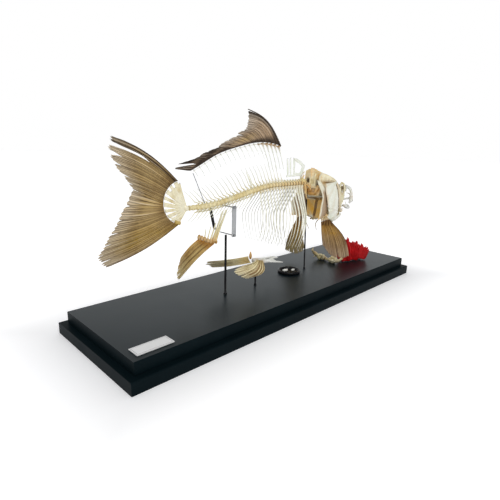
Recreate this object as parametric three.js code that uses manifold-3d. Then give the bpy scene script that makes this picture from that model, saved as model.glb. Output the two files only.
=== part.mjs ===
// Mounted skeleton of a common carp on a stepped board, at life size, in millimetres.
// The origin is the middle of the board's underside. +X runs to the snout, +Y to the
// fish's left and +Z up. A height in this file is measured above the deck, the top of
// the upper board, and point() adds the deck's own height.
import * as THREE from 'three';
import { mergeVertices } from 'three/addons/utils/BufferGeometryUtils.js';
import Module from 'manifold-3d';

const wasm = await Module();
wasm.setup();

// Stand
const boardLength = 460;
const boardWidth = 132;
const boardThickness = 12;
const boardLedge = 7;
const boardChamfer = 0.8;
const deckHeight = 2 * boardThickness;
const contactGap = 0.3;
const postRadius = 1.3;
const thinPostRadius = 1;
const labelSize = { length: 36, width: 14, thickness: 0.8 };
const labelPlace = { x: -205.5, y: -52.5 };

// Backbone
const columnFront = 66;
const columnRear = -127;
const vertebraCount = 36;
const fusedCount = 3;
const trunkCount = 15;
const vertebraPitch = (columnFront - columnRear) / vertebraCount;
const tailHeight = 103;
const columnRise = 16;
const riseStart = -113.5;
const riseLength = 116;
const centrumFrontRadius = 3.5;
const centrumRearRadius = 2.6;
const centrumWaist = 0.78;
const centrumSides = 6;

// Head
const headHalfWidth = 23;
const snoutHalfWidth = 7;
const taperStart = 88;
const taperLength = 72;
const cheekHeight = 95;
const cheekAbove = 42;
const cheekBelow = 48;
const boneThickness = 1.1;
const orbitRadius = 6;
const orbitPlace = { x: 127, height: 109 };

// Rib cage
const ribCount = 15;
const firstRib = fusedCount;
const stoutRibs = 2;
const ribBow = 24;
const ribSweep = 6;
const ribRearTip = 56;
const ribTipFall = 0.27;
const ribRearPlace = -32;
const sideBlockPlace = 4.3;
const sideBlockDrop = 3.1;

// Fins
const finEdge = 0.6;
const tailRoot = { x: -136, height: 109.5, radius: 22 };
const tailFork = 0.47;
const backStayCount = 19;

// Loose specimens on the deck
const girdle = {
  rear: 62,
  bottom: 72.6,
  top: 123,
  inset: 2.6,
  flareRear: 4.4,
  flareFront: -2.6,
  innerGap: 2.4,
};
const throatBoneRadius = 11;
const gillLeafCount = 3;
const dishPlace = { x: 39, y: 3 };
const dishRadius = 15;

const blackPaint = material('#17191a', 0.5);
const blackRod = material('#101112', 0.35, 0.4);
const greySteel = material('#9aa0a3', 0.35, 0.8);
const whiteLabel = material('#eceae4', 0.6);
const oldIvory = material('#dcc98a', 0.55);
const paleBone = material('#e6e0cc', 0.6);
const whiteBone = material('#e4e6df', 0.5);
const amberBone = material('#c99a4b', 0.5);
const brownFin = material('#7d6a50', 0.6);
const darkFin = material('#4a3c33', 0.6);
const tanFin = material('#b59a62', 0.55);
const gillRed = material('#c4141c', 0.45);

function material(color, roughness, metalness = 0) {
  return new THREE.MeshStandardMaterial({ color, roughness, metalness });
}

// ---------------------------------------------------------------- helpers

function point(x, y, height) {
  return new THREE.Vector3(x, y, deckHeight + height);
}

function mix(from, to, share) {
  return from + (to - from) * share;
}

function smooth(value) {
  const t = Math.min(Math.max(value, 0), 1);
  return t * t * (3 - 2 * t);
}

function flip(points, side) {
  return points.map(([x, y, height]) => point(x, side * y, height));
}

// A closed solid from a geometry, with its shared corners merged.
function solidOf(geometry) {
  const plain = geometry.index ? geometry.clone() : geometry;
  plain.deleteAttribute('normal');
  plain.deleteAttribute('uv');
  const merged = mergeVertices(plain, 1e-4);
  const mesh = new wasm.Mesh({
    numProp: 3,
    vertProperties: merged.attributes.position.array,
    triVerts: new Uint32Array(merged.index.array),
  });
  return new wasm.Manifold(mesh);
}

function geometryOf(solid) {
  const mesh = solid.getMesh();
  const geometry = new THREE.BufferGeometry();
  geometry.setAttribute('position', new THREE.BufferAttribute(mesh.vertProperties, 3));
  geometry.setIndex(new THREE.BufferAttribute(mesh.triVerts, 1));
  return geometry;
}

function join(geometries) {
  return geometryOf(geometries.map(solidOf).reduce((whole, piece) => whole.add(piece)));
}

function cut(geometry, tools) {
  return geometryOf(tools.map(solidOf).reduce((whole, tool) => whole.subtract(tool), solidOf(geometry)));
}

function reshape(geometry, place) {
  const position = geometry.attributes.position;
  for (let i = 0; i < position.count; i += 1) {
    const moved = place(position.getX(i), position.getY(i), position.getZ(i));
    position.setXYZ(i, moved.x, moved.y, moved.z);
  }
  return geometry;
}

// A closed loft: place(along, angle, reach) maps the cylinder's length, turn and radius.
function loft(place, sides, steps) {
  const cylinder = new THREE.CylinderGeometry(1, 1, 1, sides, steps);
  return reshape(cylinder, (x, y, z) => place(y + 0.5, Math.atan2(x, z), Math.hypot(x, z)));
}

// A tapering round or flattened rod along a smooth curve through the points.
function rod(points, radius, { sides = 4, steps = 3, flat = 1, across = [0, 1, 0] } = {}) {
  const curve = points.length > 2
    ? new THREE.CatmullRomCurve3(points)
    : new THREE.LineCurve3(points[0], points[1]);
  return loft((along, angle, reach) => {
    const tangent = curve.getTangent(along);
    const normal = new THREE.Vector3(...across).projectOnPlane(tangent).normalize();
    const binormal = new THREE.Vector3().crossVectors(normal, tangent);
    const size = radius(along) * reach;
    return curve.getPoint(along)
      .addScaledVector(normal, size * Math.sin(angle))
      .addScaledVector(binormal, size * flat * Math.cos(angle));
  }, sides, steps);
}

function taper(start, end, power = 1) {
  return (along) => end + (start - end) * (1 - along) ** power;
}

// A thin curved plate: surface(u, v) gives its middle, thickness(u, v) its depth.
function sheet(surface, uSteps, vSteps, thickness) {
  const step = 1e-3;
  const slab = new THREE.BoxGeometry(1, 1, 1, uSteps, vSteps, 1);
  return reshape(slab, (x, y, z) => {
    const u = x + 0.5;
    const v = y + 0.5;
    const alongU = surface(u + step, v).sub(surface(u - step, v));
    const alongV = surface(u, v + step).sub(surface(u, v - step));
    const normal = alongU.cross(alongV).normalize();
    return surface(u, v).addScaledVector(normal, z * thickness(u, v));
  });
}

// A flat plate standing in the middle plane, from an outline of [x, height] points.
function plate(outline, thickness, y = 0, hole = null) {
  const shape = new THREE.Shape(outline.map(([x, height]) => new THREE.Vector2(x, height)));
  if (hole) {
    shape.holes.push(new THREE.Path(hole.map(([x, height]) => new THREE.Vector2(x, height))));
  }
  const slab = new THREE.ExtrudeGeometry(shape, { depth: thickness, bevelEnabled: false });
  slab.rotateX(Math.PI / 2);
  slab.translate(0, y + thickness / 2, deckHeight);
  return slab;
}

function ball(centre, radii, sides = 8, rings = 6) {
  const sphere = new THREE.SphereGeometry(1, sides, rings);
  sphere.scale(...radii);
  sphere.translate(centre.x, centre.y, centre.z);
  return sphere;
}

const model = new THREE.Group();

function add(name, geometry, finish) {
  const mesh = new THREE.Mesh(geometry, finish);
  mesh.name = name;
  model.add(mesh);
}

// ---------------------------------------------------------------- stand

function board(length, width, bottom, top) {
  const c = boardChamfer;
  const shape = new THREE.Shape([
    new THREE.Vector2(-width / 2, bottom),
    new THREE.Vector2(width / 2, bottom),
    new THREE.Vector2(width / 2, top - c),
    new THREE.Vector2(width / 2 - c, top),
    new THREE.Vector2(-width / 2 + c, top),
    new THREE.Vector2(-width / 2, top - c),
  ]);
  const slab = new THREE.ExtrudeGeometry(shape, { depth: length, bevelEnabled: false });
  slab.translate(0, 0, -length / 2);
  slab.rotateX(Math.PI / 2);
  slab.rotateZ(Math.PI / 2);
  return slab;
}

function post(foot, top, radius) {
  return rod([point(...foot), point(...top)], () => radius, { sides: 10, steps: 1 });
}

function addStand() {
  const half = contactGap / 2;
  const lowerLength = boardLength + 2 * boardLedge;
  const lowerWidth = boardWidth + 2 * boardLedge;
  add('base_lower_board', board(lowerLength, lowerWidth, 0, boardThickness - half), blackPaint);
  add('base_upper_board', board(boardLength, boardWidth, boardThickness + half, deckHeight), blackPaint);

  const label = new THREE.BoxGeometry(labelSize.length, labelSize.width, labelSize.thickness);
  label.translate(labelPlace.x, labelPlace.y, deckHeight + contactGap + labelSize.thickness / 2);
  add('label_plate', label, whiteLabel);

  add('post_rear', post([-79.5, -2, contactGap], [-79.5, -2, 69.4], postRadius), blackRod);
  add('post_front', post([68.5, 0, contactGap], [63.5, 0, 111], thinPostRadius), blackRod);
  add('post_pelvic', post([-31, -2, contactGap], [-31, -2, 25], thinPostRadius), blackRod);
}

// Two cross rods joined by a hanging strip carry the backbone on the rear post.
function addBracket() {
  const place = -79.5;
  const low = 71;
  const high = 101.2;
  const stripSide = -15;
  const crossRod = (height, from, to) => rod(
    [point(place, from, height), point(place, to, height)],
    () => 0.7,
    { sides: 6, steps: 1, across: [1, 0, 0] },
  );
  const knob = (height) => rod(
    [point(place, stripSide - 0.4, height), point(place, stripSide - 4, height)],
    () => 1.3,
    { sides: 6, steps: 1, across: [1, 0, 0] },
  );
  const strip = new THREE.BoxGeometry(6, 1.2, high - low + 3);
  strip.translate(place, stripSide, deckHeight + (high + low) / 2);
  add('bracket', join([
    crossRod(low, 7, stripSide - 1),
    crossRod(high, 11, stripSide - 1),
    strip,
    knob(low),
    knob(high),
  ]), greySteel);
}

function addWires() {
  const wire = [point(-122.8, -1.4, 137.6), point(-118.4, -1.9, 127), point(-108.6, -2, 106.6)];
  add('dorsal_wire', rod(wire, () => 0.45, { sides: 6, steps: 4 }), greySteel);
  const strut = [point(-96.6, 3.4, 99.2), point(-91, 3.4, 76)];
  add('anal_strut', rod(strut, () => 1.3, { sides: 6, steps: 1, flat: 1.35 }), blackRod);
}

// ---------------------------------------------------------------- backbone

function columnHeight(x) {
  return tailHeight + columnRise * smooth((x - riseStart) / riseLength);
}

function centrumRadius(x) {
  return mix(centrumRearRadius, centrumFrontRadius, (x - columnRear) / (columnFront - columnRear));
}

function vertebraPlace(index) {
  return columnFront - (index + 0.5) * vertebraPitch;
}

// A run of spool-shaped centra, widest where two of them meet.
function centra(firstIndex, count) {
  const front = columnFront - firstIndex * vertebraPitch - contactGap / 2;
  const rear = columnFront - (firstIndex + count) * vertebraPitch + contactGap / 2;
  const steps = 2 * count;
  return loft((along, angle, reach) => {
    const x = mix(rear, front, along);
    const ring = Math.round(along * steps);
    const size = centrumRadius(x) * (ring % 2 ? centrumWaist : 1) * reach;
    const turn = angle + Math.PI / centrumSides;
    return point(x, -size * Math.sin(turn), columnHeight(x) + size * Math.cos(turn));
  }, centrumSides, steps);
}

// A spine leaning back from a centrum, upwards or downwards.
function spine(centre, lean, length, direction) {
  const x = centre - vertebraPitch / 4;
  const root = columnHeight(x) + direction * centrumRadius(x) * 0.5;
  const backward = -Math.sin(lean);
  const outward = direction * Math.cos(lean);
  const tip = point(x + backward * length, 0, root + outward * length);
  return rod([point(x, 0, root), tip], taper(1.1, 0.4), { sides: 3, steps: 1 });
}

function neuralSpine(index) {
  const x = vertebraPlace(index);
  const behind = smooth((columnFront - x) / (columnFront - columnRear));
  const lean = mix(0.3, 0.86, behind);
  const full = 13 + 6 * Math.sin(Math.PI * behind) + 3 * behind;
  const underPlates = smooth((x - 11) / 8);
  return spine(x, lean, mix(full, 5, underPlates), 1);
}

function haemalSpine(index) {
  const x = vertebraPlace(index);
  const lean = mix(0.72, 0.86, smooth((-30 - x) / 90));
  const length = mix(22, 17, smooth((-30 - x) / 60));
  return spine(x, lean, length, -1);
}

// One neural spine is broadened into a blade.
function broadBlade() {
  return plate([[-36.5, 117], [-39.5, 117], [-46, 128], [-49, 137], [-42.5, 129.5]], 1);
}

function range(count, first = 0) {
  return Array.from({ length: count }, (empty, i) => first + i);
}

function addBackbone() {
  const firstTail = fusedCount + trunkCount;
  const tailCount = vertebraCount - firstTail;
  const finalBare = 2;
  const trunk = range(trunkCount, fusedCount);
  const tail = range(tailCount - finalBare, firstTail);
  add('trunk_vertebrae', join([
    centra(fusedCount, trunkCount),
    ...trunk.map(neuralSpine),
  ]), oldIvory);
  add('tail_vertebrae', join([
    centra(firstTail, tailCount),
    ...tail.map(neuralSpine),
    ...tail.map(haemalSpine),
    broadBlade(),
  ]), oldIvory);
}

// The first vertebrae are fused, with side wings and two hooks that hang below them.
function addWeberian() {
  const wing = (side) => rod(
    flip([[58, 1, 119], [57, 8, 118], [54, 13, 113]], side),
    taper(2.6, 1, 1),
    { steps: 2, sides: 4, across: [1, 0, 0] },
  );
  const hook = (side) => rod(
    flip([[57, 1, 118.5], [55, 5, 109], [58, 4.5, 101], [60.4, 3.6, 98]], side),
    taper(2, 0.8, 1),
    { steps: 4, sides: 4, across: [1, 0, 0] },
  );
  const arch = plate([[51, 119], [50.4, 125.6], [57, 126.6], [64, 125], [64.5, 119]], 5);
  add('weberian_vertebrae', join([
    centra(0, fusedCount),
    arch,
    wing(1),
    wing(-1),
    hook(1),
    hook(-1),
  ]), amberBone);
}

// Tall thin plates stand on the fused vertebrae, in front of the back fin.
function addSupraneurals() {
  const window = [[37, 132], [46, 132], [48, 141], [37, 147]];
  const outline = [[33, 127.5], [32, 151], [36, 152], [57, 141.5], [56, 138], [50, 128], [45, 129.5]];
  const bar = (x, top, width) => plate([
    [x + 1, 128], [x - width, 128], [x - width - 2, top], [x - 1, top + 1],
  ], 1);
  add('supraneurals', join([
    plate(outline, boneThickness, 0, window),
    plate([[20, 130], [50, 130], [50, 127.6], [20, 127.2]], 1),
    bar(24, 150, 2.4),
    bar(29.5, 151, 2.2),
  ]), paleBone);
}

// ---------------------------------------------------------------- ribs

function ribTip(x) {
  return ribRearTip - ribTipFall * (x - ribRearPlace);
}

// A rib leaves the row of side blocks, sweeps out and back, and hangs to its tip.
function rib(index, side) {
  const x = vertebraPlace(index);
  const top = columnHeight(x) - sideBlockDrop;
  const tip = ribTip(x - ribSweep);
  const bow = ribBow * mix(1, 0.86, (47 - x) / 75) * (1 - 0.16 * smooth((x - 36) / 12));
  const drop = (share) => mix(top, tip, share);
  const path = flip([
    [x, sideBlockPlace, top],
    [x - ribSweep * 0.6, bow * 0.62, drop(0.15)],
    [x - ribSweep, bow, drop(0.45)],
    [x - ribSweep, bow * 0.92, drop(0.75)],
    [x - ribSweep * 0.8, bow * 0.62, tip],
  ], side);
  const size = index < firstRib + stoutRibs ? 1.5 : 1;
  return rod(path, taper(size, 0.4, 0.8), { steps: 4, sides: 3, across: [1, 0, 0] });
}

function addRibs(name, side) {
  const front = columnFront - firstRib * vertebraPitch - 1;
  const rear = columnFront - (firstRib + ribCount) * vertebraPitch + 1;
  const steps = ribCount;
  const blocks = loft((along, angle, reach) => {
    const x = mix(rear, front, along);
    const size = (Math.round(along * steps) % 2 ? 1.6 : 1.4) * reach;
    const turn = angle + Math.PI / 4;
    const y = side * sideBlockPlace - size * Math.sin(turn);
    return point(x, y, columnHeight(x) - sideBlockDrop + size * Math.cos(turn));
  }, 4, steps);
  const ribs = range(ribCount, firstRib).map((index) => rib(index, side));
  add(name, join([blocks, ...ribs]), paleBone);
}

// ---------------------------------------------------------------- head

function headSide(x, height) {
  const wide = mix(headHalfWidth, snoutHalfWidth, smooth((x - taperStart) / taperLength));
  const reach = height > cheekHeight ? cheekAbove : cheekBelow;
  return wide * Math.sqrt(Math.max(0.1, 1 - ((height - cheekHeight) / reach) ** 2));
}

// A bone of the head's side, spanned between a rear and a front edge, each [low, high].
function sideBone(rear, front, side, { bulge = 0, inset = 0, uSteps = 3, vSteps = 4 } = {}) {
  const surface = (u, v) => {
    const swing = bulge * Math.sin(Math.PI * v);
    const x = mix(mix(rear[0][0], rear[1][0], v) - swing, mix(front[0][0], front[1][0], v), u);
    const height = mix(mix(rear[0][1], rear[1][1], v), mix(front[0][1], front[1][1], v), u);
    return point(x, side * (headSide(x, height) - inset), height);
  };
  return sheet(surface, uSteps, vSteps, () => boneThickness);
}

function roofHeight(x) {
  return 136 - 0.29 * (x - 73) - 0.0012 * (x - 73) ** 2;
}

function skullHalfWidth(x) {
  return 12.5 + 3 * Math.sin(Math.PI * smooth((x - 70) / 50)) - 6.5 * smooth((x - 105) / 45);
}

// The braincase: a flat-roofed box that narrows forwards, with a crest and back openings.
function addBraincase() {
  const front = 154;
  const rear = 73;
  const body = loft((along, angle, reach) => {
    const x = mix(rear, front, along);
    const end = Math.max(0.35, Math.min(1, (1 - along) * 6));
    const top = roofHeight(x);
    const bottom = 101 + 3 * along;
    const middle = (top + bottom) / 2;
    const up = Math.cos(angle);
    const out = Math.sin(angle);
    const square = Math.max(Math.abs(up), Math.abs(out)) ** 0.6;
    const y = -skullHalfWidth(x) * end * out * reach / square;
    return point(x, y, middle + (top - middle) * up * reach / square);
  }, 14, 8);
  const crest = plate([[71.5, 122], [70.5, 137.5], [76, 138], [92, 131.5], [92, 125]], 1.4);
  const pad = ball(point(74, 0, 105.5), [9, 7, 4.5], 8, 5);
  const condyle = rod([point(66.4, 0, 118.6), point(76, 0, 118)], () => 3.4, { sides: 6, steps: 1 });
  const pit = (side) => ball(point(72, side * 8, 121), [7, 2.8, 5], 6, 4);
  const slit = ball(point(71, 0, 111.6), [6, 4.5, 1.3], 6, 4);
  const hollow = (side) => ball(point(127, side * 11, 110), [6, 5.5, 6.5], 6, 5);
  const whole = join([body, crest, pad, condyle]);
  add('braincase', cut(whole, [pit(1), pit(-1), slit, hollow(1), hollow(-1)]), oldIvory);
}

// The preopercle is a bent strip: a tall limb in front of the opercle and a foot forwards.
function preopercle(side) {
  const bend = (share) => {
    const turn = smooth((share - 0.45) / 0.35);
    const tall = mix(105.6, 120.4, share / 0.6);
    return [mix(tall, mix(102, 138, share), turn), mix(119, 77, smooth(share / 0.8))];
  };
  const surface = (u, v) => {
    const [x, height] = bend(v);
    const turn = smooth((v - 0.45) / 0.35);
    const width = mix(6.4, 5, v);
    const across = (u - 0.5) * width;
    const placeX = x + across * (1 - 0.75 * turn);
    const placeHeight = height + across * turn;
    return point(placeX, side * headSide(placeX, placeHeight), placeHeight);
  };
  return sheet(surface, 1, 7, () => boneThickness);
}

function addFaceSide(side, name) {
  const opercle = sideBone([[90, 86], [84, 118]], [[116, 78], [101.5, 119.5]], side, { bulge: 5 });
  add(`opercle_${name}`, opercle, whiteBone);

  const subopercle = sideBone([[95, 71], [89.8, 85.2]], [[116, 65], [116, 77.3]], side, { vSteps: 2 });
  add(`subopercle_${name}`, subopercle, whiteBone);

  add(`preopercle_${name}`, preopercle(side), paleBone);

  const palate = sideBone([[108, 79], [97, 117]], [[133, 82], [118, 106]], side, { inset: 2.6, uSteps: 4 });
  add(`jaw_arch_${name}`, palate, amberBone);

  const between = [[[117.2, 65.4], [117.2, 71.6]], [[133, 69.6], [133.4, 73]]];
  const interopercle = sideBone(between[0], between[1], side, { vSteps: 2 });
  add(`interopercle_${name}`, interopercle, whiteBone);

  const cheek = sideBone([[125.5, 84.2], [113.5, 117]], [[134.5, 85], [147, 112]], side, { uSteps: 4 });
  const orbit = new THREE.CylinderGeometry(orbitRadius, orbitRadius, 20, 10);
  orbit.translate(orbitPlace.x, side * 16, deckHeight + orbitPlace.height);
  add(`cheek_${name}`, cut(cheek, [orbit]), paleBone);
}

// The upper jaw: a toothless bow below the snout, hung on a rising stem and two struts.
function addUpperJaw() {
  const bow = [[157, 9, 86], [167, 7, 88.5], [173.5, 0, 90.5], [167, -7, 88.5], [157, -9, 86]];
  const stem = [[173, 0, 90.5], [175, 0, 98], [169, 0, 106], [157, 0, 109.5]];
  const strut = (side) => rod(
    flip([[158, 1, 109.2], [161, 7, 102], [160, 9, 94], [158, 8.9, 86.6]], side),
    taper(1.4, 1.7),
    { sides: 5, steps: 4, flat: 1.6, across: [1, 0, 0] },
  );
  add('upper_jaw', join([
    rod(flip(bow, 1), () => 1.5, { sides: 5, steps: 6, across: [0, 0, 1] }),
    rod(flip(stem, 1), taper(2, 1.7), { sides: 5, steps: 4 }),
    strut(1),
    strut(-1),
  ]), whiteBone);
}

function addLowerJaw() {
  const bow = [
    [138, 11, 84], [150, 9.5, 79], [160, 6, 79], [165, 0, 80.5],
    [160, -6, 79], [150, -9.5, 79], [138, -11, 84],
  ];
  const jaw = rod(flip(bow, 1), () => 1.5, { sides: 6, steps: 10, flat: 1.8, across: [0, 0, 1] });
  add('lower_jaw', jaw, whiteBone);
}

// Tongue bars under the mouth, with the keel plate and the curved throat rays.
function addHyoid() {
  const bar = (side) => rod(
    flip([[146, 1.5, 76], [132, 6, 74], [118, 9.5, 76]], side),
    () => 1.5,
    { sides: 5, steps: 3, flat: 1.6, across: [0, 0, 1] },
  );
  const ray = (side, start) => rod(
    flip([[start, 8, 75], [start - 9, 10, 68.5], [start - 22, 11, 64]], side),
    taper(1.1, 0.6),
    { steps: 2, flat: 2, across: [1, 0, 0] },
  );
  const keel = plate([[147, 74], [147, 77.5], [120, 76], [100, 73], [101, 67], [122, 69]], 1.2);
  const link = rod(
    flip([[146, 2, 76], [146, -2, 76]], 1),
    () => 1.8,
    { sides: 6, steps: 1, across: [0, 0, 1] },
  );
  add('hyoid_arch', join([
    keel,
    link,
    ...[1, -1].flatMap((side) => [bar(side), ray(side, 123), ray(side, 130)]),
  ]), paleBone);
}

// The shoulder girdle: a tall limb whose rear flares out behind the gill opening, an inner
// plate turned to the midline in front of the belly, and a foot under the throat.
function addCleithrum(side, name, splintEnd) {
  const flare = (x, v) => mix(girdle.flareRear, girdle.flareFront, (x - girdle.rear) / 26)
    * (1 - smooth((v - 0.5) / 0.4));
  const limbSide = (x, height, v) => side * (headSide(x, height) - girdle.inset + flare(x, v));
  const surface = (u, v) => {
    const height = mix(girdle.bottom, girdle.top, v);
    const rear = girdle.rear + 3 * v + 7 * Math.sin(Math.PI * smooth((v - 0.3) / 0.7));
    const front = v < 0.42 ? 92 - 12 * v : mix(87, 70.5, (v - 0.42) / 0.58);
    const x = mix(rear, front, u);
    return point(x, limbSide(x, height, v), height);
  };
  const innerSurface = (u, v) => {
    const height = mix(71, 95, v);
    const outer = limbSide(87, height, 0);
    return point(87 + u, mix(outer, side * girdle.innerGap, u), height - 1.5 * u);
  };
  const limb = sheet(surface, 5, 5, () => boneThickness);
  const inner = sheet(innerSurface, 3, 2, () => boneThickness);
  const foot = rod(
    flip([[85, 17.5, 76], [92, 13, 70], [102, 7, 67.4], [110, 3.2, 68]], side),
    taper(2.2, 1.2),
    { sides: 5, steps: 4, flat: 1.4, across: [0, 0, 1] },
  );
  const link = rod(flip([[68, 15, 120.5], [69, 15.2, 127], [75, 14.4, 132]], side), taper(1.6, 1));
  const splint = rod(
    flip([[84, 17.4, 78], [77, 9, 66], [77, splintEnd, 55]], side),
    taper(0.9, 0.4),
    { sides: 3, steps: 2 },
  );
  add(`cleithrum_${name}`, join([limb, inner, foot, link, splint]), amberBone);
}

// ---------------------------------------------------------------- fins

// A fan of rays between a base curve and an edge curve, each a function of 0 to 1.
// The edge steps in between the ray tips, and bow(t) bends the rays.
function fan(base, edge, options) {
  const { rays, bow, ragged = 0.04, thick, vSteps = 2 } = options;
  const surface = (u, v) => {
    const ray = u * 2 * rays;
    const nearTip = Math.abs(ray - 2 * Math.round(ray / 2));
    const reach = 1 - ragged * (1 - nearTip);
    const from = base(u);
    const to = edge(u);
    const bend = bow(u);
    const share = v * reach;
    const lift = Math.sin(Math.PI * v);
    return point(...[0, 1, 2].map((axis) => mix(from[axis], to[axis], share) + bend[axis] * lift));
  };
  return sheet(surface, 2 * rays, vSteps, (u, v) => mix(thick, finEdge, v));
}

function curveThrough(points) {
  const curve = new THREE.CatmullRomCurve3(points.map((place) => new THREE.Vector3(...place)));
  return (share) => curve.getPoint(Math.min(Math.max(share, 0), 1)).toArray();
}

// The tail's root is an arc about tailRoot, from the top of the fan to its bottom.
function tailArc(share, radius) {
  const angle = mix(1.78, 4.55, share);
  return [tailRoot.x + radius * Math.cos(angle), 0, tailRoot.height + radius * Math.sin(angle)];
}

function addTailFin() {
  const upperEdge = curveThrough([[-205, 0, 170], [-209, 0, 160], [-199, 0, 140], [-188.5, 0, 125.9]]);
  const lowerEdge = curveThrough([
    [-188.5, 0, 125.4], [-203, 0, 101], [-216, 0, 81], [-223, 0, 67], [-217, 0, 60.5],
  ]);
  const radius = tailRoot.radius + contactGap;
  const upper = fan(
    (u) => tailArc(tailFork * u, radius),
    upperEdge,
    { rays: 7, bow: (u) => [0, 0, 4 * (1 - u)], thick: 1.6 },
  );
  const slit = plate([[-165, 145], [-196, 163.5], [-212, 169], [-213, 165.5], [-196, 161]], 6);
  add('tail_fin_upper', cut(upper, [slit]), brownFin);
  const lower = fan(
    (u) => tailArc(mix(tailFork + 0.007, 1, u), radius),
    lowerEdge,
    { rays: 8, bow: (u) => [0, 0, -4 * u], thick: 1.6 },
  );
  add('tail_fin_lower', lower, brownFin);
}

// The tail fan: flat bars that spread from the last centrum to the root of the tail fin.
function addTailFan() {
  const barCount = 9;
  const apex = [columnRear - 1.5, tailHeight];
  const bar = (index) => {
    const middle = (index + 0.5) / barCount;
    const spread = index % 2 ? 0.036 : 0.047;
    const near = tailArc(middle - spread, tailRoot.radius);
    const far = tailArc(middle + spread, tailRoot.radius);
    const dx = near[0] - far[0];
    const dz = near[2] - far[2];
    const narrow = 0.34;
    const foot = [apex[0] - 1.2, apex[1]];
    return plate([
      [foot[0] + dx * narrow * 0.5, foot[1] + dz * narrow * 0.5],
      [near[0], near[2]],
      [far[0], far[2]],
      [foot[0] - dx * narrow * 0.5, foot[1] - dz * narrow * 0.5],
    ], 1.3);
  };
  const hub = ball(point(columnRear - 3.1, 0, tailHeight), [2.6, 2, 2.9], 6, 4);
  const web = plate([[-129.6, 104], [-137, 128], [-146, 124], [-151, 117]], 0.9);
  const lowWeb = plate([[-129.6, 102], [-151, 99], [-146, 92], [-138, 90]], 0.9);
  add('tail_fan', join([hub, ...range(barCount).map(bar), web, lowWeb]), oldIvory);
}

function backFinBase(share) {
  const x = mix(7, -124, share);
  const arch = Math.sin(Math.PI * Math.max(share, 0) ** 0.82) * (1 - 0.35 * share);
  return [x, 0, mix(163.5, 139.5, share) + 11.5 * arch];
}

function addBackFin() {
  const edge = curveThrough([
    [-18, 0, 193], [-46.5, 0, 202], [-49.5, 0, 189], [-71, 0, 175],
    [-97, 0, 161.5], [-126, 0, 149], [-139.5, 0, 142.6],
  ]);
  const front = 0.06;
  const fin = fan(
    (u) => backFinBase(u),
    (u) => edge(mix(front, 1, u)),
    { rays: 12, bow: (u) => [6 * (1 - u) ** 4, 0, 6 * (1 - u) ** 4], ragged: 0.06, thick: 1.7 },
  );
  const slit = plate([[-112, 147.4], [-142, 142.6], [-142, 141.2]], 6);
  add('back_fin', cut(fin, [slit]), darkFin);
}

// Thin stays under the back fin point down and forwards, like the teeth of a comb. The
// foremost are long and end close above the backbone's spines.
function addBackStays() {
  const headDepth = 2.2;
  const top = contactGap + 0.9;
  const upperLine = range(backStayCount + 1).map((index) => {
    const [x, , height] = backFinBase(index / backStayCount);
    return [x, height - top];
  });
  const teeth = range(backStayCount).flatMap((index) => {
    const share = (index + 0.5) / backStayCount;
    const [x, , height] = backFinBase(share);
    const root = height - top - headDepth;
    const long = 1 - smooth((share - 0.2) / 0.12);
    const depth = mix(mix(14, 7, share), root - columnHeight(x + 12) - 18.6, long);
    const lean = mix(0.72, 0.42, long);
    const tip = [x + lean * depth, root - depth];
    return [[x + 1.3, root], [tip[0] + 0.45, tip[1]], [tip[0] - 0.45, tip[1]], [x - 1.3, root]];
  });
  add('back_fin_stays', plate([...upperLine.reverse(), ...teeth], 1), paleBone);
}

function addAnalFin() {
  const base = curveThrough([[-93, 0, 62], [-101, 0, 66], [-113, 0, 71]]);
  const edge = curveThrough([[-141, 0, 31.5], [-142.5, 0, 38], [-140, 0, 47], [-136, 0, 57]]);
  const fin = fan(base, edge, { rays: 6, bow: (u) => [0, 0, mix(2.5, 1.5, u)], thick: 1.8 });
  add('anal_fin', fin, tanFin);

  const top = 4.4;
  const headRow = rod([
    point(-89, 0, 62 + top), point(-101, 0, 65 + top), point(-112.6, 0, 71.6 + top - 1),
  ], () => 1.5, { sides: 5, steps: 3 });
  const stay = (headX, headHeight, footX, footHeight, size, side = 0) => rod(
    [point(headX, 0, headHeight), point(footX, side, footHeight)],
    taper(size, 0.7),
    { steps: 1 },
  );
  add('anal_fin_stays', join([
    headRow,
    stay(-91, 67, -79.5, 95, 1.7, -2.8),
    stay(-93.5, 67.5, -84, 92, 1.5, -2.6),
    stay(-97, 69, -92, 84, 1.2),
    stay(-101, 69.5, -98.5, 81, 1),
    stay(-105, 71, -104, 80, 0.9),
  ]), oldIvory);
}

function addShoulderFins() {
  const rightBase = curveThrough([[71, -21, 69.5], [79, -22.5, 70.5], [88, -22, 70]]);
  const rightEdge = curveThrough([
    [70, -27, 37.5], [75, -35, 26.5], [80, -41, 21.5], [88, -49, 20], [96, -54.5, 22.5],
  ]);
  const rightBow = (u) => [2 * u - 1, -3 * u, 0];
  const rightFin = fan(rightBase, rightEdge, { rays: 6, bow: rightBow, thick: 2, vSteps: 3 });
  add('pectoral_fin_right', rightFin, brownFin);
  const leftBase = curveThrough([[78, 23, 69.5], [83, 22.5, 70.5], [88, 21, 70]]);
  const leftEdge = curveThrough([[88, 54, 12], [90, 45, 8.5], [90, 33, 9.5], [88, 22, 14], [87, 15, 22]]);
  const leftFin = fan(leftBase, leftEdge, { rays: 6, bow: () => [-3, 1, 0], thick: 2, vSteps: 3 });
  add('pectoral_fin_left', leftFin, brownFin);
}

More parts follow.
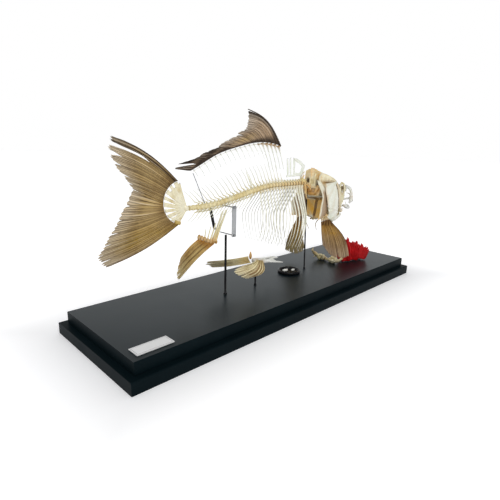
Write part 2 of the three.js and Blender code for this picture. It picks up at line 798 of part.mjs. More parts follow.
// The hip bones: forked blades that point forwards, one behind each belly fin.
function addHip(side, name) {
  const stem = [[-29, 5, 29], [-18, 4.6, 28], [-8, 5, 27]];
  const outer = [[-12, 5, 27], [0, 9.5, 25], [11, 8.5, 22]];
  const inner = [[-12, 4.8, 27], [-2, 2.4, 28.5], [8, 2.2, 27.5]];
  const options = { sides: 4, steps: 2, flat: 1.5, across: [0, 0, 1] };
  add(`hip_bone_${name}`, join([
    rod(flip(stem, side), taper(2.8, 1.8), options),
    rod(flip(outer, side), taper(1.2, 0.8), options),
    rod(flip(inner, side), taper(1.2, 0.8), options),
  ]), paleBone);
}

function addBellyFins() {
  const leftBase = curveThrough([[-32.6, 9.5, 34], [-32.6, 8, 30], [-32, 5, 26.5]]);
  const leftEdge = curveThrough([[-100, 11, 38.5], [-99, 14, 36], [-94, 18, 32.5], [-88, 21, 29]]);
  const leftFin = fan(leftBase, leftEdge, { rays: 5, bow: () => [0, 0, -1], thick: 2, vSteps: 3 });
  add('pelvic_fin_left', leftFin, tanFin);
  const rightBase = curveThrough([[-33, -5, 33], [-30, -6.6, 32.2], [-26, -8.8, 31]]);
  const rightEdge = curveThrough([
    [-64, -19, 36], [-80, -20, 31.5], [-72, -20, 23.5], [-60, -19, 19.5], [-50, -18, 19],
  ]);
  const rightFin = fan(
    rightBase,
    rightEdge,
    { rays: 6, bow: (u) => [3 * u, -5 - 3 * u, 1 - 3 * u], ragged: 0.03, thick: 2, vSteps: 4 },
  );
  add('pelvic_fin_right', rightFin, tanFin);
  add('pelvic_spike', ball(point(-36, 2.2, 38.6), [1.8, 1.6, 3.6], 6, 6), oldIvory);
}

// ---------------------------------------------------------------- loose specimens

// A throat bone: a sickle that lies on the deck with a row of grinding teeth.
function throatBone(centreX, centreY, turn, hook) {
  const bow = range(6).map((i) => {
    const angle = turn + mix(-1.35, 1.35, i / 5);
    const lift = 2.6 + hook * Math.max(0, i / 5 - 0.5);
    const x = centreX + throatBoneRadius * Math.cos(angle);
    return point(x, centreY + throatBoneRadius * Math.sin(angle), lift);
  });
  const tooth = (place, size) => {
    const angle = turn + place;
    const reach = throatBoneRadius - 2.6;
    const x = centreX + reach * Math.cos(angle);
    const y = centreY + reach * Math.sin(angle);
    return ball(point(x, y, 4.2), [size, size, size * 0.9], 6, 3);
  };
  const bar = rod(
    bow,
    (along) => 1.1 + 1.2 * Math.sin(Math.PI * along),
    { sides: 5, steps: 6, flat: 1.3, across: [0, 0, 1] },
  );
  return join([bar, tooth(-0.55, 2.2), tooth(-0.05, 2.5), tooth(0.4, 2)]);
}

function addThroatBones() {
  add('throat_bone_left', throatBone(115, 9, 0.4, 15), oldIvory);
  add('throat_bone_right', throatBone(132, -12.5, 2.9, 7), oldIvory);
}

// The gill arches stand as leaning leaves with toothed edges on one low bar.
function addGills() {
  const leaf = (index) => {
    const share = index / (gillLeafCount - 1);
    const footX = mix(139, 168, share);
    const height = mix(41, 27, share);
    const lean = mix(-6, 7, share);
    const surface = (u, v) => {
      const tooth = Math.abs(Math.sin(u * Math.PI * 3));
      const up = height * v * (0.8 + 0.2 * tooth) * (1 - 0.35 * u);
      const y = -20 - 6 * share + 22 * (0.5 - u) * (0.7 + 0.5 * v);
      return point(footX + lean * v + 5 * u, y, 1.4 + up);
    };
    return sheet(surface, 6, 2, (u, v) => mix(5, 1.6, v));
  };
  const line = [point(136, -20, 2.8), point(156, -23, 2.9), point(175, -26, 2.8)];
  const bar = rod(line, () => 2.4, { sides: 6, steps: 3 });
  add('gill_arches', join([bar, ...range(gillLeafCount).map(leaf)]), gillRed);
}

// A shallow ring-shaped dish holds two small ear bones.
function addDish() {
  const outer = dishRadius;
  const inner = dishRadius - 3;
  const profile = [[0, 0], [outer, 0], [outer, 2.6], [outer - 1.4, 3.6], [inner, 2.8], [inner, 1], [0, 1]];
  const dish = new THREE.LatheGeometry(profile.map(([r, h]) => new THREE.Vector2(r, h)), 18);
  dish.rotateX(Math.PI / 2);
  dish.translate(dishPlace.x, dishPlace.y, deckHeight + contactGap);
  add('specimen_dish', dish, blackPaint);
  const earBone = (x, y, size) => {
    const centre = point(dishPlace.x + x, dishPlace.y + y, 3.2);
    return ball(centre, [size, size * 0.62, 1.5], 8, 5);
  };
  add('ear_bone_large', earBone(-4.5, 2.6, 4.4), whiteBone);
  add('ear_bone_small', earBone(4.5, -3.4, 2.8), whiteBone);
}

addStand();
addBracket();
addWires();
addBackbone();
addWeberian();
addSupraneurals();
addRibs('ribs_left', 1);
addRibs('ribs_right', -1);
addBraincase();
addFaceSide(1, 'left');
addFaceSide(-1, 'right');
addUpperJaw();
addLowerJaw();
addHyoid();
addCleithrum(1, 'left', 2.5);
addCleithrum(-1, 'right', 10);
addTailFin();
addTailFan();
addBackFin();
addBackStays();
addAnalFin();
addShoulderFins();
addHip(1, 'left');
addHip(-1, 'right');
addBellyFins();
addThroatBones();
addGills();
addDish();

export default model;
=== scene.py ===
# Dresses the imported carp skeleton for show. Lengths are in millimetres until a mesh is
# made, and heights are counted from the deck, the top of the upper board.
import math
import bpy
import numpy as np
from mathutils import Matrix


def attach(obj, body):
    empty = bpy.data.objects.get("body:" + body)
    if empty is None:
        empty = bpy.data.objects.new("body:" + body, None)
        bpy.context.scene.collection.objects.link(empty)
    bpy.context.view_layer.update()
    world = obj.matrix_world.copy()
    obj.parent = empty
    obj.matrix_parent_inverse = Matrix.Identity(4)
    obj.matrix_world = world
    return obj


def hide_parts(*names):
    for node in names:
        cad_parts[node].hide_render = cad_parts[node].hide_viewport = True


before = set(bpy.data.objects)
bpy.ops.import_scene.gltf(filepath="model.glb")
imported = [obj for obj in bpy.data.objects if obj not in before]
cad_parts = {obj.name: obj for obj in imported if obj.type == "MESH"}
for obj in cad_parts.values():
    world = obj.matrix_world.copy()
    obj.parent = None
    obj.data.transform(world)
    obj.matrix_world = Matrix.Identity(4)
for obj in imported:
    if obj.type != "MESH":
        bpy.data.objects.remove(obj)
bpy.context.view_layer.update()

deckHeight = 24.0
millimetre = 0.001  # in metres
scene = bpy.context.scene


# shapes


def smooth(value):
    # 3t^2 - 2t^3, with t held between 0 and 1
    t = np.clip(value, 0.0, 1.0)
    return t * t * (3 - 2 * t)


def mix(start, end, share):
    # start where the share is 0, end where it is 1, and a straight line between them
    return start + (end - start) * share


def bell(value, width):
    # 1 at 0, falling off on both sides over the given width
    return np.exp(-(value / width) ** 2)


def unit(vectors):
    # each vector divided by its own length
    return vectors / np.maximum(np.linalg.norm(vectors, axis=-1, keepdims=True), 1e-9)


def spread(count):
    # half of 1 - cos(pi t): values from 0 to 1 that crowd at both ends
    return 0.5 - 0.5 * np.cos(np.pi * np.linspace(0, 1, count))


def spline(points, count):
    # cubic pieces through the points, each slope half the step between its neighbours
    p = np.asarray(points, float)
    ends = np.vstack([2 * p[0] - p[1], p, 2 * p[-1] - p[-2]])
    t = np.linspace(0, len(p) - 1, count)
    i = np.minimum(t.astype(int), len(p) - 2)
    f = (t - i)[:, None]
    a, b, c, d = ends[i], ends[i + 1], ends[i + 2], ends[i + 3]
    bend = 2 * a - 5 * b + 4 * c - d
    return 0.5 * (2 * b + (c - a) * f + bend * f ** 2 + (3 * b - 3 * c + d - a) * f ** 3)


def stack(x, y, height):
    # three arrays made into one array of points
    return np.stack(np.broadcast_arrays(x, y, height), axis=-1).astype(float)


def mirrored(points, side):
    # the points with y times the side, 1 for the left and -1 for the right
    return np.asarray(points, float) * np.array([1, side, 1])


def shell(points, faces, **marks):
    # one closed surface: its points, its faces (-1 for a triangle's fourth corner) and
    # its marks, each a value for every point
    return {"points": points, "faces": faces, "marks": marks}


def closedTube(rings, **marks):
    # rings of points joined into a skin, with the middle of each end ring as a pole
    n, m = rings.shape[:2]
    index = np.arange(n * m).reshape(n, m)
    after = np.roll(index, -1, axis=1)
    sides = np.stack([index[:-1], after[:-1], after[1:], index[1:]], axis=-1).reshape(-1, 4)
    none = np.full(m, -1)
    first = np.stack([after[0], index[0], np.full(m, n * m), none], axis=-1)
    last = np.stack([index[-1], after[-1], np.full(m, n * m + 1), none], axis=-1)
    points = np.vstack([rings.reshape(-1, 3), rings[0].mean(0), rings[-1].mean(0)])
    values = {}
    for name, value in marks.items():
        grid = np.broadcast_to(value, (n, m))
        values[name] = np.append(grid.ravel(), [grid[0].mean(), grid[-1].mean()])
    return shell(points, np.vstack([sides, first, last]), **values)


def tube(path, radius, sides=8, flat=1.0, across=(0, 1, 0), **marks):
    # a profile (cos a, flat sin a) of the given radius, carried square to the path
    path = np.asarray(path, float)
    tangent = unit(np.gradient(path, axis=0))
    lead = np.asarray(across, float)
    normal = unit(lead - (tangent @ lead)[:, None] * tangent)
    other = np.cross(tangent, normal)
    angle = np.linspace(0, 2 * np.pi, sides, endpoint=False)[None, :, None]
    size = np.broadcast_to(np.asarray(radius, float).reshape(-1, 1, 1), (len(path), 1, 1))
    wide = np.broadcast_to(np.asarray(flat, float).reshape(-1, 1, 1), (len(path), 1, 1))
    ring = np.cos(angle) * normal[:, None] + wide * np.sin(angle) * other[:, None]
    return closedTube(path[:, None] + size * ring, **marks)


def slab(middle, thickness, edge=0.12, lining=0.0, **marks):
    # a middle surface with half the thickness put on each side of it, falling to nothing
    # at the border as the root of the distance from it. The lower side is at least as
    # warm in tone as its lining.
    n, m = middle.shape[:2]
    share = np.minimum(spread(n)[:, None], 1 - spread(n)[:, None]) / edge
    other = np.minimum(spread(m)[None, :], 1 - spread(m)[None, :]) / edge
    fall = np.sqrt(np.clip(np.minimum(share, other), 0, 1))
    normal = unit(np.cross(np.gradient(middle, axis=0), np.gradient(middle, axis=1)))
    half = normal * (0.5 * thickness * fall)[..., None]
    index = np.arange(n * m).reshape(n, m)
    inner = np.zeros((n, m), bool)
    inner[1:-1, 1:-1] = True
    below = index.copy()
    below[inner] = n * m + np.arange(inner.sum())
    top = np.stack([index[:-1, :-1], index[1:, :-1], index[1:, 1:], index[:-1, 1:]], -1)
    under = np.stack([below[:-1, :-1], below[:-1, 1:], below[1:, 1:], below[1:, :-1]], -1)
    points = np.vstack([(middle + half).reshape(-1, 3), (middle - half)[inner]])
    values = {}
    for name, value in marks.items():
        grid = np.broadcast_to(value, (n, m))
        low = np.maximum(grid[inner], lining) if name == "warm" else grid[inner]
        values[name] = np.append(grid.ravel(), low)
    return shell(points, np.vstack([top.reshape(-1, 4), under.reshape(-1, 4)]), **values)


def between(left, right, rows, cols, lift=0.0, edge=0.12, thickness=1.0, **marks):
    # a flat bone: rows run from the left line to the right line, cols along both lines
    a = spline(left, cols)
    b = spline(right, cols)
    u = spread(rows)[:, None, None]
    middle = mix(a[None], b[None], u)
    middle[..., 1] += lift * np.sin(np.pi * u[..., 0])
    return slab(middle, np.full(middle.shape[:2], float(thickness)), edge, **marks)


def blob(centre, radii, sides=16, rings=9):
    # an ellipsoid: radii times the sines and cosines of its two angles
    turn = np.linspace(0, 2 * np.pi, sides, endpoint=False)[None, :]
    tilt = np.linspace(0.15, np.pi - 0.15, rings)[:, None]
    x = centre[0] + radii[0] * np.sin(tilt) * np.cos(turn)
    y = centre[1] + radii[1] * np.sin(tilt) * np.sin(turn)
    z = centre[2] - radii[2] * np.cos(tilt) * np.ones_like(turn)
    return closedTube(stack(x, y, z))


def piece(name, shells, nodes, paint):
    # all the shells in one mesh: each point plus the deck's height, times one millimetre
    offset = 0
    faces = []
    for part in shells:
        faces.append(np.where(part["faces"] < 0, -1, part["faces"] + offset))
        offset += len(part["points"])
    faces = np.vstack(faces)
    points = np.vstack([part["points"] for part in shells]) + [0, 0, deckHeight]
    corners = faces[faces >= 0]
    sizes = (faces >= 0).sum(axis=1)
    mesh = bpy.data.meshes.new(name)
    mesh.vertices.add(len(points))
    mesh.vertices.foreach_set("co", (points * millimetre).ravel())
    mesh.loops.add(len(corners))
    mesh.loops.foreach_set("vertex_index", corners.astype(np.int32))
    mesh.polygons.add(len(sizes))
    mesh.polygons.foreach_set("loop_start", (np.cumsum(sizes) - sizes).astype(np.int32))
    mesh.update(calc_edges=True)
    for mark in sorted({key for part in shells for key in part["marks"]}):
        blank = [part["marks"].get(mark, np.zeros(len(part["points"]))) for part in shells]
        layer = mesh.attributes.new(mark, "FLOAT", "POINT")
        layer.data.foreach_set("value", np.concatenate(blank).astype(np.float32))
    mesh.shade_smooth()
    mesh.materials.append(paint)
    body = bpy.data.objects.new(name, mesh)
    scene.collection.objects.link(body)
    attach(body, "root")
    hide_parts(*nodes)


# materials


class Wire:
    # one output socket of a material's nodes, with arithmetic on it

    def __init__(self, tree, socket):
        self.tree = tree
        self.socket = socket

    def node(self, kind, settings, inputs, output=0):
        # a node of any kind: its settings, then its inputs as wires or plain values
        made = self.tree.nodes.new(kind)
        for key, value in settings.items():
            setattr(made, key, value)
        for key, value in inputs.items():
            if isinstance(value, Wire):
                self.tree.links.new(value.socket, made.inputs[key])
            else:
                made.inputs[key].default_value = value
        return Wire(self.tree, made.outputs[output])

    def math(self, operation, first, second=0.0):
        # the operation on two wires or plain values
        return self.node("ShaderNodeMath", {"operation": operation}, {0: first, 1: second})

    def __add__(self, other):
        return self.math("ADD", self, other)

    def __radd__(self, other):
        return self.math("ADD", other, self)

    def __sub__(self, other):
        return self.math("SUBTRACT", self, other)

    def __rsub__(self, other):
        return self.math("SUBTRACT", other, self)

    def __mul__(self, other):
        return self.math("MULTIPLY", self, other)

    def step(self, low, high):
        # 0 below low, 1 above high, and a smooth rise between them
        inputs = {0: self, 1: low, 2: high}
        return self.node("ShaderNodeMapRange", {"interpolation_type": "SMOOTHSTEP"}, inputs)

    def wave(self, turns):
        # a sine of the given number of turns for each unit
        return self.math("SINE", self * (2 * math.pi * turns))

    def tint(self, first, second):
        # the first colour where the wire is 0, the second where it is 1
        settings = {"data_type": "RGBA"}
        inputs = {0: self, 6: first, 7: second}
        return self.node("ShaderNodeMix", settings, inputs, 2)


class Paint:
    # a material's node tree with its pattern sources and its finished surface

    def __init__(self, name):
        self.material = bpy.data.materials.new(name)
        self.material.use_nodes = True
        self.tree = self.material.node_tree
        self.surface = self.tree.nodes["Principled BSDF"]
        self.start = Wire(self.tree, None)

    def place(self):
        # the point in the object's own space
        return self.start.node("ShaderNodeTexCoord", {}, {}, 3)

    def axis(self, which):
        # one coordinate of the object's own space, in millimetres
        split = self.start.node("ShaderNodeSeparateXYZ", {}, {0: self.place()}, which)
        return split * 1000.0

    def mark(self, name):
        # the value that a mesh carries under this name at each point
        return self.start.node("ShaderNodeAttribute", {"attribute_name": name}, {}, 2)

    def noise(self, size, detail, stretch=(1, 1, 1)):
        # cloudy grain about the given size in millimetres, squeezed along each axis
        scale = self.start.node(
            "ShaderNodeVectorMath", {"operation": "MULTIPLY"}, {0: self.place(), 1: stretch})
        inputs = {"Vector": scale, "Scale": 1000.0 / size, "Detail": detail, "Roughness": 0.55}
        return self.start.node("ShaderNodeTexNoise", {}, inputs)

    def finish(self, color, roughness, bump=None, depth=0.1, **fixed):
        # wires go to the surface's sockets, and plain numbers are set on them
        pairs = {"Base Color": color, "Roughness": roughness, **fixed}
        for key, value in pairs.items():
            socket = self.surface.inputs[key]
            if isinstance(value, Wire):
                self.tree.links.new(value.socket, socket)
            else:
                socket.default_value = value
        if bump:
            inputs = {"Height": bump, "Distance": depth * millimetre, "Strength": 1.0}
            normal = self.start.node("ShaderNodeBump", {}, inputs)
            self.tree.links.new(normal.socket, self.surface.inputs["Normal"])
        return self.material


def rgb(red, green, blue):
    # a colour given in screen values from 0 to 255, made linear
    values = np.array([red, green, blue]) / 255.0
    linear = np.where(values <= 0.04045, values / 12.92, ((values + 0.055) / 1.055) ** 2.4)
    return (*(float(v) for v in linear), 1.0)


bone = {
    "grain": 1.6,  # size of the fine pits, in mm
    "cloud": 11.0,  # size of the stained patches
    "pit": 0.05,  # depth of the pits
}


def bonePaint(name, pale, deep, stain, gloss=0.42, *, warm, blush=(0.5, 0.42, 0.38, 1)):
    # pale bone with deeper patches from large noise and small specks of stain; warm and blush tones from marks,
    # painted shade from a mark set in holes, grooves and gaps, and painted shade in the fine pits
    paint = Paint(name)
    cloud = paint.noise(bone["cloud"], 4.0).step(0.32, 0.7)
    grain = paint.noise(bone["grain"], 5.0)
    speck = paint.noise(3.1, 3.0).step(0.6, 0.75)
    color = cloud.tint(pale, deep)
    color = (speck * 0.55).tint(color, stain)
    color = (paint.mark("warm") * (0.75 + cloud * 0.25)).tint(color, warm)
    color = (paint.mark("blush") * 0.6).tint(color, blush)
    # painted shade: where the hole mark is set, the colour goes to a near-black brown, the shade deep in a hollow
    color = paint.mark("hole").tint(color, (0.035, 0.015, 0.004, 1.0))
    shade = grain.step(0.3, 0.75) * 0.14
    color = shade.tint(color, (0.16, 0.1, 0.04, 1.0))
    rough = gloss + grain * 0.22
    bump = grain + cloud * 0.4
    return paint.finish(color, rough, bump, bone["pit"])


def finPaint(name, skin, ray, root, tip, side, gold, gloss=0.5):
    # skin with a dark line down every ray, which parts into two branches half way out; a
    # deep root, a paler tip and one lobe toned another way
    paint = Paint(name)
    out = paint.mark("out")
    number = paint.mark("number")
    away = paint.start.math("ABSOLUTE", paint.start.math("FRACT", number) - 0.5)
    apart = out.step(0.35, 0.9) * 0.26
    line = 1 - paint.start.math("ABSOLUTE", away - apart).step(0.04, 0.14)
    fine = number * 3.0
    hair = 1 - paint.start.math("ABSOLUTE", paint.start.math("FRACT", fine) - 0.5).step(0.1, 0.42)
    chance = paint.start.node(
        "ShaderNodeTexWhiteNoise", {"noise_dimensions": "1D"}, {"W": paint.start.math("FLOOR", fine)}, 0)
    cloud = paint.noise(14.0, 4.0).step(0.35, 0.7)
    streak = paint.noise(3.0, 4.0)
    blot = paint.noise(8.0, 3.0).step(0.45, 0.75)
    color = (cloud * 0.6).tint(skin, side)
    color = (out.step(0.55, 1.05) * 0.9).tint(color, tip)
    color = (paint.mark("gold") * (0.5 + blot * 0.5)).tint(color, gold)
    color = ((1 - out.step(0.0, 0.3)) * (0.3 + blot * 0.45)).tint(color, root)
    color = (paint.mark("dark") * (0.86 + blot * 0.1)).tint(color, ray)
    color = (hair * chance.step(0.75, 0.95) * out.step(0.1, 0.5) * 0.8).tint(color, tip)
    color = (hair * chance.step(0.7, 0.05) * (0.35 + streak * 0.75)).tint(color, ray)
    color = (line * (0.2 + streak * 0.55)).tint(color, ray)
    joint = paint.start.math("ABSOLUTE", (out * 46.0).wave(1.0)).step(0.0, 0.25)
    bump = streak * 0.4 + joint * line * 0.3 + line * 0.9
    return paint.finish(color, gloss + streak * 0.2, bump, 0.25, IOR=1.32)


def blackPaint(name, gloss, tone):
    # satin black: fine orange peel, and dust that pales it in faint clouds
    paint = Paint(name)
    peel = paint.noise(0.9, 2.0)
    dust = paint.noise(38.0, 5.0).step(0.42, 0.72)
    fleck = paint.noise(0.7, 1.0).step(0.7, 0.78)
    color = (dust * 0.5 + fleck * 0.5).tint(tone, tuple(v * 1.9 for v in tone[:3]) + (1,))
    return paint.finish(color, gloss + dust * 0.08, peel, 0.012, IOR=1.24)


def boardPaint():
    # dull black sides, and a satin coat on the top face alone, from its height
    paint = Paint("boardPaint")
    peel = paint.noise(0.9, 2.0)
    dust = paint.noise(38.0, 5.0).step(0.42, 0.72)
    fleck = paint.noise(0.7, 1.0).step(0.7, 0.78)
    color = (dust * 0.5 + fleck * 0.5).tint((0.003, 0.0075, 0.0095, 1), (0.005, 0.0115, 0.0145, 1))
    top = paint.axis(2).step(deckHeight - 0.2, deckHeight - 0.02)
    return paint.finish(
        color, 0.4 + dust * 0.08, peel, 0.012, IOR=1.1,
        **{"Coat Weight": top, "Coat IOR": 1.24, "Coat Roughness": 0.36, "Coat Tint": (0.86, 0.97, 1.0, 1.0)})


def metalPaint(name, tone, gloss, metal):
    # drawn metal: long fine scratches along Z that shift the gloss
    paint = Paint(name)
    scratch = paint.noise(0.5, 3.0, (1, 1, 0.06))
    smear = paint.noise(7.0, 3.0).step(0.4, 0.7)
    color = (scratch * 0.5 + smear * 0.3).tint(tone, tuple(v * 0.6 for v in tone[:3]) + (1,))
    return paint.finish(color, gloss + smear * 0.12, scratch, 0.01, Metallic=metal)


def labelPaint():
    # plain paper with a thin grey frame line, from the distance to the card's edges
    paint = Paint("labelPaper")
    wide = paint.start.math("ABSOLUTE", paint.axis(0) + 205.5)
    deep = paint.start.math("ABSOLUTE", paint.axis(1) + 52.5)
    reach = paint.start.math("MAXIMUM", wide - 18.0, deep - 7.0)
    line = reach.step(-1.5, -1.35) * (1 - reach.step(-1.15, -1.0))
    fibre = paint.noise(0.6, 4.0)
    paper = fibre.tint((0.86, 0.86, 0.85, 1), (0.8, 0.8, 0.79, 1))
    return paint.finish((line * 0.7).tint(paper, (0.1, 0.1, 0.11, 1)), 0.55, fibre, 0.02)


paints = {
    "column": bonePaint(
        "columnBone", rgb(238, 228, 184), rgb(224, 206, 144), rgb(168, 132, 70),
        warm=rgb(214, 152, 66), blush=rgb(232, 234, 220)),
    "pale": bonePaint(
        "paleBone", rgb(230, 224, 192), rgb(210, 198, 148), rgb(164, 138, 80),
        warm=rgb(184, 140, 56)),
    "fan": bonePaint(
        "fanBone", rgb(240, 234, 208), rgb(226, 216, 178), rgb(196, 178, 118), warm=rgb(190, 160, 74)),
    "supra": bonePaint(
        "thinBone", rgb(244, 246, 238), rgb(230, 234, 218), rgb(200, 196, 164), warm=rgb(182, 132, 54)),
    "rib": bonePaint(
        "ribBone", rgb(244, 243, 228), rgb(230, 228, 204), rgb(184, 174, 140),
        warm=rgb(196, 166, 104)),
    "white": bonePaint(
        "whiteBone", rgb(246, 246, 240), rgb(230, 232, 224), rgb(200, 190, 160), warm=rgb(200, 160, 90)),
    "skull": bonePaint(
        "skullBone", rgb(252, 246, 216), rgb(232, 218, 170), rgb(188, 152, 80),
        warm=rgb(228, 162, 42)),
    "cover": bonePaint(
        "coverBone", rgb(242, 242, 230), rgb(228, 232, 212), rgb(206, 196, 146), 0.3,
        warm=rgb(196, 146, 66)),
    "amber": bonePaint(
        "amberBone", rgb(240, 232, 198), rgb(226, 212, 162), rgb(194, 156, 84),
        warm=rgb(200, 146, 56)),
    "shoulder": bonePaint(
        "shoulderBone", rgb(238, 238, 222), rgb(222, 218, 192), rgb(170, 140, 92),
        warm=rgb(255, 196, 56), blush=rgb(168, 138, 104)),
    "throat": bonePaint(
        "throatBone", rgb(252, 244, 206), rgb(236, 220, 160), rgb(134, 98, 44),
        warm=rgb(146, 104, 40)),
    "gill": finPaint(
        "gillRed", rgb(216, 20, 26), rgb(140, 6, 8), rgb(150, 8, 10), rgb(240, 44, 54),
        rgb(176, 14, 18), rgb(236, 46, 54), 0.45),
    "dish": blackPaint("dishPaint", 0.25, (0.008, 0.008, 0.009, 1)),
    "tailFin": finPaint(
        "tailFinSkin", rgb(188, 160, 106), rgb(52, 34, 14), rgb(110, 76, 34), rgb(208, 192, 166),
        rgb(146, 116, 70), rgb(176, 142, 50)),
    "backFin": finPaint(
        "backFinSkin", rgb(184, 158, 128), rgb(28, 17, 9), rgb(84, 50, 20), rgb(190, 176, 158),
        rgb(146, 118, 90), rgb(172, 144, 70)),
    "goldenFin": finPaint(
        "goldenFinSkin", rgb(214, 184, 116), rgb(74, 44, 12), rgb(172, 116, 44), rgb(218, 200, 150),
        rgb(184, 144, 76), rgb(190, 128, 42)),
    "shoulderFin": finPaint(
        "shoulderFinSkin", rgb(178, 148, 100), rgb(70, 40, 14), rgb(140, 90, 28), rgb(184, 158, 130),
        rgb(148, 114, 72), rgb(184, 138, 44)),
    "bellyFin": finPaint(
        "bellyFinSkin", rgb(250, 240, 194), rgb(132, 90, 34), rgb(242, 216, 140), rgb(248, 238, 200),
        rgb(234, 212, 146), rgb(214, 174, 84)),
}


# scene: camera, floor and lights

camera = {
    "place": (-365.8, -326.0, 191.6),  # mm
    "azimuth": 44.955,  # degrees from +X towards +Y
    "down": 14.895,
    "roll": 1.482,
    "focal": 403.06,  # in pixels of an image 500 wide
}


def addCamera():
    # axes from the view's azimuth and fall, then turned about the line of sight
    azimuth, down, roll = (math.radians(camera[k]) for k in ("azimuth", "down", "roll"))
    ahead = np.array([
        math.cos(down) * math.cos(azimuth), math.cos(down) * math.sin(azimuth), -math.sin(down)])
    right = np.array([math.sin(azimuth), -math.cos(azimuth), 0.0])
    up = np.cross(right, ahead)
    right, up = (
        right * math.cos(roll) + up * math.sin(roll), up * math.cos(roll) - right * math.sin(roll))
    lens = bpy.data.cameras.new("camera")
    lens.sensor_width = 36.0
    lens.lens = camera["focal"] / 500.0 * 36.0
    lens.clip_start = 0.01
    lens.clip_end = 50.0
    view = bpy.data.objects.new("camera", lens)
    turn = Matrix(np.column_stack([right, up, -ahead]).tolist()).to_4x4()
    view.matrix_world = Matrix.Translation([v * millimetre for v in camera["place"]]) @ turn
    scene.collection.objects.link(view)
    scene.camera = view


def addFloor():
    # a square with its corners at equal reach. Its glow is dimmed near the stand's outline and rises to full 120 mm
    # out, a painted contact shadow; large noise gives it a faint random tone
    reach = 6.0
    corners = [(-reach, -reach, 0), (reach, -reach, 0), (reach, reach, 0), (-reach, reach, 0)]
    mesh = bpy.data.meshes.new("floor")
    mesh.from_pydata(corners, [], [(0, 1, 2, 3)])
    paint = Paint("floorPaint")
    shade = paint.noise(60.0, 2.0).step(0.2, 0.8)
    wide = paint.start.math("ABSOLUTE", paint.axis(0)) - 237.0
    deep = paint.start.math("ABSOLUTE", paint.axis(1)) - 73.0
    away = paint.start.math("MAXIMUM", wide, deep)
    # painted shadow: the emission colour is about a third as bright at the stand's outline
    glow = away.step(-10.0, 120.0).tint((0.32, 0.32, 0.32, 1), (1, 1, 1, 1))
    mesh.materials.append(paint.finish(
        shade.tint((0.94, 0.94, 0.94, 1), (0.95, 0.95, 0.95, 1)), 0.6,
        **{"Emission Color": glow, "Emission Strength": 0.56}))
    floor = bpy.data.objects.new("floor", mesh)
    scene.collection.objects.link(floor)


def addLight(name, place, target, size, power):
    # an area lamp whose -Z axis is turned to the target
    lamp = bpy.data.lights.new(name, "AREA")
    lamp.shape = "RECTANGLE"
    lamp.size = size[0]
    lamp.size_y = size[1]
    lamp.energy = power
    body = bpy.data.objects.new(name, lamp)
    back = unit(np.array(place, float) - np.array(target, float))
    side = unit(np.cross([0, 0, 1.0], back))
    turn = Matrix(np.column_stack([side, np.cross(back, side), back]).tolist()).to_4x4()
    body.matrix_world = Matrix.Translation(place) @ turn
    scene.collection.objects.link(body)


def addSky():
    # soft light from all round, a low white glow behind the fish and a brighter patch to
    # one side of it, each from the dot product with a direction; tones are shown plainly
    scene.view_settings.view_transform = "Standard"
    world = bpy.data.worlds.new("studio")
    world.use_nodes = True
    tree = world.node_tree
    start = Wire(tree, None)
    way = start.node("ShaderNodeTexCoord", {}, {}, 0)
    product = {"operation": "DOT_PRODUCT"}
    behind = start.node("ShaderNodeVectorMath", product, {0: way, 1: (0.707, 0.707, 0)}, 1)
    high = start.node("ShaderNodeSeparateXYZ", {}, {0: way}, 2)
    beside = start.node(
        "ShaderNodeVectorMath", product, {0: way, 1: (0.4975, 0.7661, 0.4067)}, 1)
    glow = behind.step(0.3, 0.6) * (1 - high.step(0.31, 0.42))
    patch = beside.step(0.955, 0.998) * 0.9
    bright = start.math("MINIMUM", glow + patch, 1.0)
    color = bright.tint((0.44, 0.445, 0.46, 1), (1, 1, 1, 1))
    tree.links.new(color.socket, tree.nodes["Background"].inputs[0])
    scene.world = world


addCamera()
addFloor()
addSky()
addLight("keyLamp", (-0.5, -0.9, 1.1), (0, 0, 0.1), (1.0, 0.8), 8.5)
print("scene set")


# stand

stand = {
    "rear": ((-79.5, -2, 0.3), (-79.5, -2, 69.4), 1.3),  # foot, top, radius
    "front": ((68.5, 0, 0.3), (63.5, 0, 111), 1.0),
    "pelvic": ((-31, -2, 0.3), (-31, -2, 25), 1.0),
    "bracketPlace": -79.5,
    "low": 71.0,
    "high": 101.2,
    "stripSide": -15.0,
}


